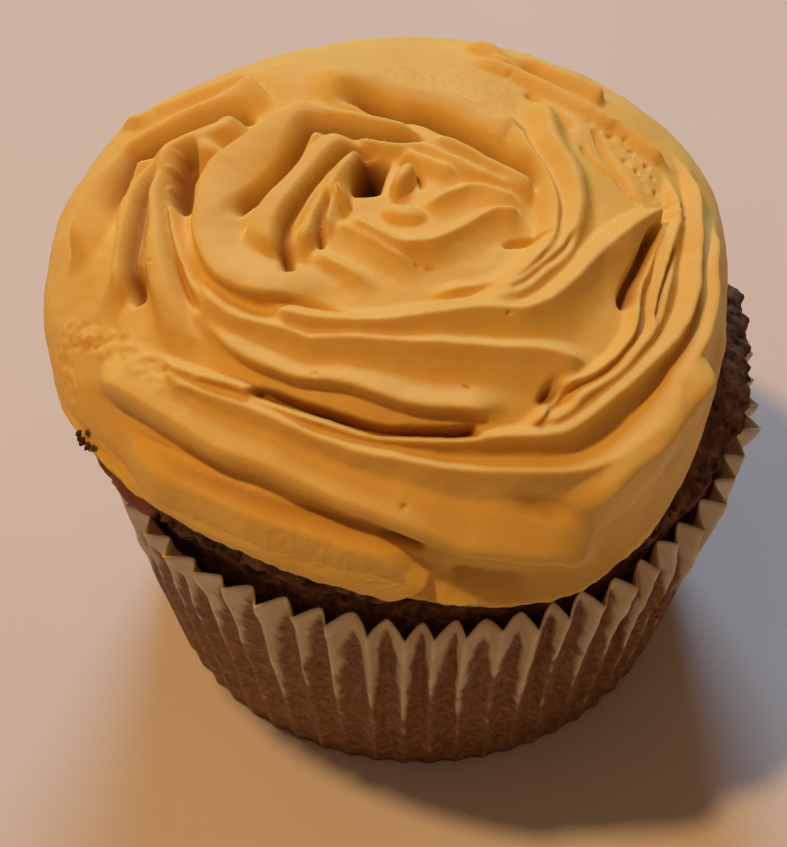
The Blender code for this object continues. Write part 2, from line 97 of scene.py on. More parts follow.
def moveCorners(piece, points):
    piece.data.vertices.foreach_set("co", np.asarray(points).ravel())
    piece.data.update()


def outwards(piece):
    choose(piece)
    bpy.ops.object.mode_set(mode="EDIT")
    bpy.ops.mesh.select_all(action="SELECT")
    bpy.ops.mesh.normals_make_consistent(inside=False)
    bpy.ops.object.mode_set(mode="OBJECT")


def paintAttribute(piece, name, values):
    mark = piece.data.attributes.new(name, "FLOAT", "POINT")
    mark.data.foreach_set("value", np.asarray(values, np.float32))


def grain(points, size, seed):
    # soft noise between about -0.5 and 0.5 whose lumps are about the given size
    shift = Vector((seed * 7.3, seed * 3.1, seed * 5.7))
    return np.array([noise.noise(Vector(p) / size + shift) for p in points])


def grains(points, layers, seed):
    # layers of soft noise, (size, height) each
    return sum(height * grain(points, size, seed + number) for number, (size, height) in enumerate(layers))


def aroundCurve(values, degrees):
    # smooth closed curve through values spaced evenly round the cake
    data = np.asarray(values, float)
    turn = (np.asarray(degrees, float) % 360.0) * len(data) / 360.0
    index = np.floor(turn).astype(int)
    part = turn - index
    before, first, second, after = (data[(index + k) % len(data)] for k in (-1, 0, 1, 2))
    slopeA = (second - before) / 2
    slopeB = (after - first) / 2
    return (first * (2 * part ** 3 - 3 * part ** 2 + 1) + slopeA * (part ** 3 - 2 * part ** 2 + part)
            + second * (3 * part ** 2 - 2 * part ** 3) + slopeB * (part ** 3 - part ** 2))


def smoothStep(low, high, value):
    part = np.clip((value - low) / (high - low), 0.0, 1.0)
    return part * part * (3 - 2 * part)


def hexColour(code):
    # sRGB hex to linear
    parts = [int(code[k:k + 2], 16) / 255 for k in (1, 3, 5)]
    linear = [c / 12.92 if c <= 0.04045 else ((c + 0.055) / 1.055) ** 2.4 for c in parts]
    return (*linear, 1.0)


def addNode(tree, kind, settings=(), links=(), stops=()):
    # one node: its settings and sockets by name or number, the links into it, a ramp's colour stops
    node = tree.nodes.new(kind)
    for key, value in dict(settings).items():
        if isinstance(key, str) and hasattr(node, key):
            setattr(node, key, value)
        else:
            node.inputs[key].default_value = value
    for key, source in dict(links).items():
        tree.links.new(source, node.inputs[key])
    while stops and len(node.color_ramp.elements) < len(stops):
        node.color_ramp.elements.new(0.5)
    for number, (position, colour) in enumerate(stops):
        node.color_ramp.elements[number].position = position
        node.color_ramp.elements[number].color = hexColour(colour)
    return node


def newMaterial(name):
    item = bpy.data.materials.new(name)
    item.use_nodes = True
    tree = item.node_tree
    return item, tree, tree.nodes["Principled BSDF"]


view = {
    "distance": 344.49 * mm,   # from a point on the axis at aimHeight
    "aimHeight": 20.0 * mm,
    "elevation": 47.86,
    "roll": 2.06,
    "focalPixels": 3500.0,
    "photoSize": (787.0, 847.0),
    "sensorWidth": 36.0,
    "nearest": 0.01,
    "shiftPixels": (-27.77, 12.44),
}


def makeCamera():
    data = bpy.data.cameras.new("camera")
    item = bpy.data.objects.new("camera", data)
    bpy.context.scene.collection.objects.link(item)
    tilt = math.radians(view["elevation"])
    back = Vector((0, -math.cos(tilt), math.sin(tilt)))
    stand = Vector((0, 0, view["aimHeight"])) + back * view["distance"]
    turn = Matrix.Rotation(math.radians(90 - view["elevation"]), 4, "X")
    turn = turn @ Matrix.Rotation(math.radians(view["roll"]), 4, "Z")
    item.matrix_world = Matrix.Translation(stand) @ turn
    data.sensor_width = view["sensorWidth"]
    longSide = max(view["photoSize"])
    data.lens = view["focalPixels"] / longSide * view["sensorWidth"]
    data.shift_x = view["shiftPixels"][0] / longSide
    data.shift_y = view["shiftPixels"][1] / longSide
    data.clip_start = view["nearest"]
    bpy.context.scene.camera = item
    return item


def photoPixels(points):
    # where places are seen in the photo, pixels across and down, and how deep they lie
    stand, axes = np.array(camera.matrix_world.translation), np.array(camera.matrix_world.to_3x3())
    local = (points - stand) @ axes
    scale = view["focalPixels"] / -local[:, 2]
    across = view["photoSize"][0] / 2 - view["shiftPixels"][0] + scale * local[:, 0]
    down = view["photoSize"][1] / 2 + view["shiftPixels"][1] - scale * local[:, 1]
    return np.stack([across, down], axis=1), -local[:, 2]


def directionSeen(pixel, height):
    # direction round the Z axis of the place at that height which is seen at a pixel
    across = (pixel[0] - view["photoSize"][0] / 2 + view["shiftPixels"][0]) / view["focalPixels"]
    down = (pixel[1] - view["photoSize"][1] / 2 - view["shiftPixels"][1]) / view["focalPixels"]
    stand = camera.matrix_world.translation
    ray = camera.matrix_world.to_3x3() @ Vector((across, -down, -1))
    place = stand + ray * (height - stand.z) / ray.z
    return math.degrees(math.atan2(place.y, place.x)) % 360


camera = makeCamera()
print("camera set")


sponge = {
    "gap": 0.35 * mm,
    "paper": 0.3 * mm,
    "top": 39.0 * mm,
    "crownStart": 28.8 * mm,
    "caseHeight": 28.2 * mm,
    "baseRadius": 24.825 * mm,
    "rimRadius": 30.2 * mm,
    "sideClearance": 0.12 * mm,
    # reach of the crown and height of its widest line, every 30 degrees from +X, mm
    "reach": (31.6, 31.2, 30.4, 30.0, 30.0, 30.5, 31.9, 33.4, 30.4, 29.7, 29.9, 30.8),
    "line": (33.0, 33.0, 32.0, 32.0, 32.0, 32.0, 31.4, 30.9, 30.4, 30.2, 30.3, 31.0),
    "crownPower": 0.75,
    "sectors": 640,
    "bulgeRings": 30,
    "crownRings": 20,
    "sideRings": 6,
    "foot": 0.8 * mm,
    "floorRing": 0.6,          # of the underside's radius
    "crownCrowding": 1.6,      # how the rings of the crown crowd towards its edge
    "roughness": 0.8 * mm,
    "upShare": 0.3,            # how much of a crag stands up, beside what stands out
    "crags": ((4.2 * mm, 1.1), (1.9 * mm, 0.9), (0.85 * mm, 0.55)),   # size and share of the height
    "holes": (1.4 * mm, 2.6, 0.1),   # size, depth and how much of the noise is left whole
    "sunk": 0.35,
    "smoothSide": (196, 214),  # where the crust is whole and smooth, degrees
    "smoothFade": 6,
    "smoothness": 0.8,
    "seed": 1,
}


def crownHeight(x, y):
    # top of the sponge under the buttercream
    degrees = np.degrees(np.arctan2(y, x))
    edge = aroundCurve(sponge["reach"], degrees) * mm
    line = aroundCurve(sponge["line"], degrees) * mm
    part = np.clip(np.hypot(x, y) / edge, 0.0, 1.0)
    return line + (sponge["top"] - line) * (1.0 - part ** 2) ** sponge["crownPower"]


def spongeSide(z):
    part = z / sponge["caseHeight"]
    width = sponge["baseRadius"] + (sponge["rimRadius"] - sponge["baseRadius"]) * part
    return width - sponge["paper"] - sponge["gap"] - sponge["sideClearance"]


def makeSponge():
    low = sponge["paper"] + sponge["gap"]
    high = sponge["caseHeight"]
    foot = sponge["foot"]
    chain = [(0, 0, low), (sponge["floorRing"] * spongeSide(low), 0, low),
             (spongeSide(low) - foot, 0, low)]
    for k in range(sponge["sideRings"]):
        z = low + foot + (high - low - foot) * k / (sponge["sideRings"] - 1)
        chain.append((spongeSide(z), 0, z))
    # the bulge and the crown are spun as marks at 1 to 2 m and at 3 m, then laid out
    for k in range(1, sponge["bulgeRings"] + 1):
        chain.append((1.0, 0, 1.0 + k / sponge["bulgeRings"]))
    for k in range(1, sponge["crownRings"] + 1):
        part = 1 - (k / sponge["crownRings"]) ** sponge["crownCrowding"]
        chain.append((max(part, 0.0), 0, 3.0))
    piece = spunSheet("sponge", chain, sponge["sectors"])
    x, y, z = corners(piece).T
    angle = np.arctan2(y, x)
    degrees = np.degrees(angle)
    radius = np.hypot(x, y)
    reach = aroundCurve(sponge["reach"], degrees) * mm
    line = aroundCurve(sponge["line"], degrees) * mm
    rim = spongeSide(high)
    onBulge = (z > 0.9) & (z < 2.5)
    onCrown = z > 2.5
    part = np.where(onBulge, z - 1.0, 1.0)
    swollen = rim + (reach - rim) * np.sin(part * math.pi / 2)
    share = np.where(onCrown, radius, 0.0)
    domed = crownHeight(reach * share * np.cos(angle), reach * share * np.sin(angle))
    newRadius = np.where(onCrown, reach * share, np.where(onBulge, swollen, radius))
    rise = sponge["crownStart"] + (line - sponge["crownStart"]) * part
    newZ = np.where(onCrown, domed, np.where(onBulge, rise, z))
    points = np.stack([newRadius * np.cos(angle), newRadius * np.sin(angle), newZ], axis=1)
    # crags, torn flakes and open crumb on what shows between the rim and the buttercream
    shows = np.where(onBulge, 1.0, np.where(onCrown & (share > 0.9), (share - 0.9) * 10, 0.0))
    seed = sponge["seed"]
    size, depth, least = sponge["holes"]
    holes = depth * np.maximum(grain(points, size, seed + len(sponge["crags"])) - least, 0.0)
    rough = grains(points, sponge["crags"], seed) - holes - sponge["sunk"]
    start, end = sponge["smoothSide"]
    away = np.abs((degrees - (start + end) / 2 + 180) % 360 - 180)
    crust = smoothStep(0.0, 1.0, (end - start) / 2 + sponge["smoothFade"] - away)
    lift = rough * sponge["roughness"] * shows * (1 - sponge["smoothness"] * crust)
    points[:, 0] += lift * np.cos(angle)
    points[:, 1] += lift * np.sin(angle)
    points[:, 2] += lift * sponge["upShare"]
    moveCorners(piece, points)
    paintAttribute(piece, "crust", crust)
    outwards(piece)
    choose(piece)
    bpy.ops.object.shade_smooth()
    return piece


def spongeMaterial():
    # coffee sponge, oven baked: matt open crumb, dark brown with darker holes and paler torn edges
    item, tree, shader = newMaterial("bakedCoffeeSponge")
    spot = addNode(tree, "ShaderNodeTexCoord").outputs["Object"]
    crumb = addNode(tree, "ShaderNodeTexNoise", {"Scale": 1 / (1.6 * mm), "Detail": 6.0, "Roughness": 0.65},
                    {"Vector": spot})
    cells = addNode(tree, "ShaderNodeTexVoronoi", {"Scale": 1 / (1.1 * mm)}, {"Vector": spot})
    tone = addNode(tree, "ShaderNodeValToRGB", links={"Fac": crumb.outputs["Fac"]},
                   stops=[(0.25, "#33200f"), (0.5, "#6b4930"), (0.75, "#a67a57")])
    dark = addNode(tree, "ShaderNodeValToRGB", links={"Fac": cells.outputs["Distance"]},
                   stops=[(0.1, "#7a7a7a"), (0.45, "#ffffff")])
    mixed = addNode(tree, "ShaderNodeMix", {"data_type": "RGBA", "blend_type": "MULTIPLY", 0: 1.0},
                    {6: tone.outputs["Color"], 7: dark.outputs["Color"]})
    # whole crust, smooth and reddish, where the batter rose against the paper
    crust = addNode(tree, "ShaderNodeAttribute", {"attribute_name": "crust"})
    skin = addNode(tree, "ShaderNodeMix", {"data_type": "RGBA", 7: hexColour("#b4745a")},
                   {0: crust.outputs["Fac"], 6: mixed.outputs[2]})
    tree.links.new(skin.outputs[2], shader.inputs["Base Color"])
    bumpA = addNode(tree, "ShaderNodeBump", {"Strength": 0.8, "Distance": 0.5 * mm},
                    {"Height": crumb.outputs["Fac"]})
    bumpB = addNode(tree, "ShaderNodeBump", {"Strength": 0.7, "Distance": 0.35 * mm},
                    {"Height": cells.outputs["Distance"], "Normal": bumpA.outputs["Normal"]})
    tree.links.new(bumpB.outputs["Normal"], shader.inputs["Normal"])
    shader.inputs["Roughness"].default_value = 0.9
    shader.inputs["Specular IOR Level"].default_value = 0.25
    return item


case = {
    "baseRadius": 25.0 * mm,
    "height": 28.2 * mm,
    "innerFold": 30.2 * mm,    # radius of the inner folds at the rim
    "outerFold": 32.4 * mm,
    "pleats": 59,
    # the inner folds on the front of the rim, traced in the photo; the others are nearly even
    "frontFolds": [(352, 620), (387, 618), (423, 626), (457, 622), (487, 622), (521, 610), (553, 604),
                   (583, 594), (616, 579), (643, 561), (664, 545)],
    "jitter": 0.55,
    "slant": (0.64, -1.2),     # how far the outer folds lie beside the middle, left and right of the front
    "slantTurn": (262, 278),   # directions between which the one passes into the other
    "foldsFrom": (-0.2, 0.7),  # share of the height where the even folds pass into those of the rim
    "foldShape": (0.35, 1.7),  # how straight a pleat's flanks are, and how sharp its outer fold
    "rings": (0.6, 0.85, 0.97),    # of the underside, as shares of its radius
    "wallFrom": 0.99,
    "footPleat": 0.35 * mm,
    "rimDrop": 0.5 * mm,
    "rimUneven": 0.35 * mm,
    "flare": 1.3 * mm,         # how far the loose rim leans out at the front left
    "flareFrom": 232.0,
    "flareWidth": 17.0,
    "looseShare": 0.35,        # how much flatter the pleats are there, and how far the rim sinks
    "lipSpan": (0.72, 1.0),    # share of the height that leans out, and how late it does
    "lipPower": 1.5,
    "pleatPower": 0.9,         # how the pleats deepen towards the rim
    "rimPower": 4,             # how close to the rim its unevenness keeps
    "buckles": ((7.0 * mm, 0.9 * mm), (2.6 * mm, 0.35 * mm)),      # size and height
    "bucklePower": 1.5,
    "depths": (0.75, 1.15),    # of a pleat, as a share
    "rimHeights": (-1.0, 0.4),
    "archStarts": (0.8, 3.2),  # mm below the rim where the paper starts to be soaked
    "archLengths": (7.0, 17.0),
    "archEdge": (0.62, 1.8),   # width just under the start, and the mm over which it is reached
    "archSide": (0.5, 0.25),   # width added further down, and where that starts
    "blots": ((2.2 * mm, 0.22), (0.8 * mm, 0.16)),
    "soakedEdge": (-0.1, 0.16),
    "thickness": 0.16 * mm,
    "stepsPerPleat": 14,
    "levels": 36,
    "seed": 5,
}


def caseFolds():
    # directions of the inner and outer folds, once round and back to the first
    chance = random.Random(case["seed"])
    inner = [directionSeen(pixel, case["height"]) for pixel in case["frontFolds"]]
    last = inner[-1]
    rest = case["pleats"] - len(inner) + 1
    pitch = (inner[0] + 360 - last) / rest
    for k in range(1, rest):
        inner.append(last + pitch * k + chance.uniform(-1, 1) * case["jitter"])
    inner.append(inner[0] + 360)
    outer = []
    for here, there in zip(inner[:-1], inner[1:]):
        left, right = case["slant"]
        lean = left + (right - left) * smoothStep(*case["slantTurn"], (here + there) / 2)
        outer.append((here + there) / 2 + lean + chance.uniform(-1, 1) * case["jitter"])
    return np.array(inner), np.array(outer)


def makePaperCase():
    # a disc whose rim is extruded up the wall level by level, then folded into pleats
    startClean()
    count = case["pleats"] * case["stepsPerPleat"]
    radius = case["rings"][0] * case["baseRadius"]
    bpy.ops.mesh.primitive_circle_add(vertices=count, radius=radius, fill_type="TRIFAN")
    piece = bpy.context.object
    piece.name = "bakingCase"
    bpy.ops.object.mode_set(mode="EDIT")
    work = bmesh.from_edit_mesh(piece.data)
    for edge in work.edges:
        edge.select = edge.is_boundary
    bmesh.update_edit_mesh(piece.data)
    bpy.ops.mesh.select_mode(type="EDGE")
    flare = case["innerFold"] - case["baseRadius"]
    rows = [(share * case["baseRadius"], 0.0) for share in case["rings"][1:]]
    rows += [(case["baseRadius"] + flare * k / case["levels"], case["height"] * k / case["levels"])
             for k in range(case["levels"] + 1)]
    z = 0.0
    for nextRadius, nextZ in rows:
        bpy.ops.mesh.extrude_region_move(TRANSFORM_OT_translate={"value": (0, 0, nextZ - z)})
        share = nextRadius / radius
        bpy.ops.transform.resize(value=(share, share, 1.0), center_override=(0, 0, 0))
        radius, z = nextRadius, nextZ
    bpy.ops.object.mode_set(mode="OBJECT")
    x, y, z = corners(piece).T
    radius = np.hypot(x, y)
    part = z / case["height"]
    fold = (np.degrees(np.arctan2(y, x)) % 360.0) * case["pleats"] / 360.0
    inner, outer = caseFolds()
    marks = np.sort(np.concatenate([np.arange(case["pleats"] + 1.0), np.arange(case["pleats"]) + 0.5]))
    turns = np.zeros(len(marks))
    turns[0::2] = inner
    turns[1::2] = outer
    folded = np.interp(fold, marks, turns)
    even = inner[0] + fold * 360.0 / case["pleats"]
    degrees = even + (folded - even) * smoothStep(*case["foldsFrom"], part)
    chance = random.Random(case["seed"] + 1)
    number = np.round(fold).astype(int) % case["pleats"]
    pocket = np.floor(fold).astype(int) % case["pleats"]
    pleatDepth, rimHeight, archStart, archLength = (
        np.array([chance.uniform(*case[span]) for k in range(case["pleats"])])
        for span in ("depths", "rimHeights", "archStarts", "archLengths"))
    # 0 on an inner fold and 1 on an outer one: rounded inside, sharper outside
    ramp = np.abs((fold - np.round(fold)) * 2)
    straight, sharp = case["foldShape"]
    wave = straight * ramp + (1 - straight) * ramp ** sharp
    away = np.abs((degrees - case["flareFrom"] + 180) % 360 - 180) / case["flareWidth"]
    loose = np.exp(-away ** 2)
    depth = (case["outerFold"] - case["innerFold"]) * pleatDepth[pocket] * part ** case["pleatPower"]
    depth *= 1 - case["looseShare"] * loose
    foot = (wave - 0.5) * case["footPleat"] * (1 - part)
    wall = radius > case["wallFrom"] * case["baseRadius"]
    lip = smoothStep(*case["lipSpan"], part)
    lean = case["flare"] * loose * lip ** case["lipPower"]
    newRadius = radius + np.where(wall, foot + depth * wave + lean, 0.0)
    uneven = rimHeight[number] * case["rimUneven"] * (1 - wave) - case["rimDrop"] * wave
    newZ = z + part ** case["rimPower"] * uneven - case["looseShare"] * case["flare"] * loose * lip
    angle = np.radians(degrees)
    points = np.stack([newRadius * np.cos(angle), newRadius * np.sin(angle), newZ], axis=1)
    # soft buckles of thin paper, none at the foot
    buckle = grains(points, case["buckles"], case["seed"]) * np.where(wall, part ** case["bucklePower"], 0.0)
    points[:, 0] += buckle * np.cos(angle)
    points[:, 1] += buckle * np.sin(angle)
    moveCorners(piece, points)
    # where the paper lies on the sponge it has soaked up fat: arches that rise to the inner folds
    below = np.maximum((case["height"] - z) / mm - archStart[number], 0.0)
    (edgeWidth, edgeSpan), (sideWidth, sideFrom) = case["archEdge"], case["archSide"]
    arch = edgeWidth * (1 - np.exp(-below / edgeSpan))
    arch += sideWidth * smoothStep(0.0, 1.0, below / archLength[pocket] - sideFrom)
    arch += grains(points, case["blots"], case["seed"] + 2)
    soaked = smoothStep(*case["soakedEdge"], arch - ramp) * (below > 0)
    paintAttribute(piece, "soaked", np.where(wall, soaked, 1.0))
    outwards(piece)
    finishWith(piece, "SOLIDIFY", thickness=case["thickness"], offset=-1.0, use_even_offset=True)
    choose(piece)
    bpy.ops.object.shade_smooth()
    return piece


def paperMaterial():
    # greaseproof baking paper: thin matt sheet, brown and see-through where it has soaked up fat
    item, tree, shader = newMaterial("greaseproofPaper")
    spot = addNode(tree, "ShaderNodeTexCoord").outputs["Object"]
    mark = addNode(tree, "ShaderNodeAttribute", {"attribute_name": "soaked"})
    blots = addNode(tree, "ShaderNodeTexNoise", {"Scale": 1 / (3.0 * mm), "Detail": 4.0}, {"Vector": spot})
    crumb = addNode(tree, "ShaderNodeTexNoise", {"Scale": 1 / (0.8 * mm), "Detail": 5.0, "Roughness": 0.7},
                    {"Vector": spot})
    brown = addNode(tree, "ShaderNodeValToRGB", links={"Fac": crumb.outputs["Fac"]},
                    stops=[(0.3, "#5c3c22"), (0.5, "#855c36"), (0.72, "#ad845a")])
    white = addNode(tree, "ShaderNodeValToRGB", links={"Fac": blots.outputs["Fac"]},
                    stops=[(0.3, "#c9b594"), (0.7, "#e2d2b6")])
    colour = addNode(tree, "ShaderNodeMix", {"data_type": "RGBA"},
                     {0: mark.outputs["Fac"], 6: white.outputs["Color"], 7: brown.outputs["Color"]})
    tree.links.new(colour.outputs[2], shader.inputs["Base Color"])
    fibre = addNode(tree, "ShaderNodeTexNoise", {"Scale": 1 / (0.35 * mm), "Detail": 3.0}, {"Vector": spot})
    bump = addNode(tree, "ShaderNodeBump", {"Strength": 0.25, "Distance": 0.1 * mm},
                   {"Height": fibre.outputs["Fac"]})
    tree.links.new(bump.outputs["Normal"], shader.inputs["Normal"])
    shader.inputs["Roughness"].default_value = 0.62
    shader.inputs["Subsurface Weight"].default_value = 0.35
    shader.inputs["Subsurface Radius"].default_value = (1.0, 0.8, 0.6)
    shader.inputs["Subsurface Scale"].default_value = 0.8 * mm
    return item


swirl = {
    "centre": (-3.0 * mm, 0.5 * mm),
    "radius": 32.5 * mm,
    "top": 52.0 * mm,
    "widestAt": 37.0 * mm,
    "widthPower": 0.92,
    "heightPower": 1.18,
    # radius factor, extra height of the shoulder, height of the lower edge and how far that edge
    # draws in under the shoulder, every 30 degrees from +X
    "reach": (0.99, 1.04, 1.02, 1.0, 1.0, 1.04, 1.04, 1.03, 0.94, 0.97, 1.04, 1.02),
    "rise": (3.5, 5.0, 5.5, 5.5, 4.5, 4.0, 2.0, 1.0, 0.5, 0.5, 0.5, 2.0),
    "edgeAt": (34.0, 35.5, 35.0, 34.0, 34.0, 33.5, 33.0, 35.5, 35.0, 34.0, 31.5, 32.5),
    "tuck": (2.0, 2.0, 2.0, 2.0, 2.0, 2.0, 1.5, 0.0, -1.5, -1.5, -1.0, 0.5),
    "wall": 5.9 * mm,
    "lean": 0.35,
    "leanFrom": 6.0 * mm,
    "wallCalm": 0.7,
    "calmPower": 3,
    "tuckPower": 1.5,
    "lip": 0.3 * mm,
    "lipSpan": (0.86, 0.97),   # where the lower skin lifts off the crown, as a share of the way out
    "underRings": (0.955, 0.88, 0.75, 0.5, 0.25, 0.0),
    "meanLevel": 0.8 * mm,
    # the two powers of a flank: how broad its top is, how hollow its foot is
    "profiles": {"sharp": (1.0, 1.7), "even": (1.0, 1.15), "soft": (2.0, 2.0), "round": (2.0, 1.0),
                 "step": (5.0, 1.0)},
    "blend": 5.0,              # how sharply a ridge takes over from its neighbour
    "wander": ((6.0 * mm, 0.35 * mm), (1.4 * mm, 0.04 * mm)),   # size and reach of the wavering of lines
    "swell": ((5.0 * mm, 0.22 * mm), (1.3 * mm, 0.07 * mm)),     # size and height of the unevenness
    "mapStep": 0.15 * mm,
    "soften": (0.2 * mm, 0.15 * mm),      # rounding of the ridges and of the grooves
    "mapMargin": 1.0 * mm,
    "lumpPower": 1.5,          # how full a lump is
    "tornLayers": ((1.0, 2.0), (0.45, 1.2)),   # of a torn place's grain: share of its size, height
    "tornEdge": 0.6,
    "edgeWaver": ((4.0 * mm, 0.45 * mm), (1.1 * mm, 0.35 * mm)),
    "waverFrom": 0.7,
    "mound": (118.0, 20.5 * mm, 2.2 * mm, 6.5 * mm),   # direction, distance, height and width
    "edgeLift": 0.3 * mm,
    "sectionSteps": 500,
    "sectors": 1000,
    "rings": 250,
    "keepTriangles": 192000,
    "seed": 7,
}

placing = {
    # finding the traced crests on the swirl: a net in degrees and mm, then small trial moves
    "turns": (0.0, 360.0, 1.0),
    "distances": (0.2, 44.1, 0.2),
    "nearPixels": 2.2,
    "nearShare": 1.02,
    "meanCrest": 0.85,         # height of a faded crest on average, and at its ends
    "lowestEnd": 0.35,
    "trial": (0.5, 0.1),
    "largestMove": (4.0, 0.8),
    "damping": 0.8,
    "rounds": 8,
    "reach": (0.3, 44.0),
}
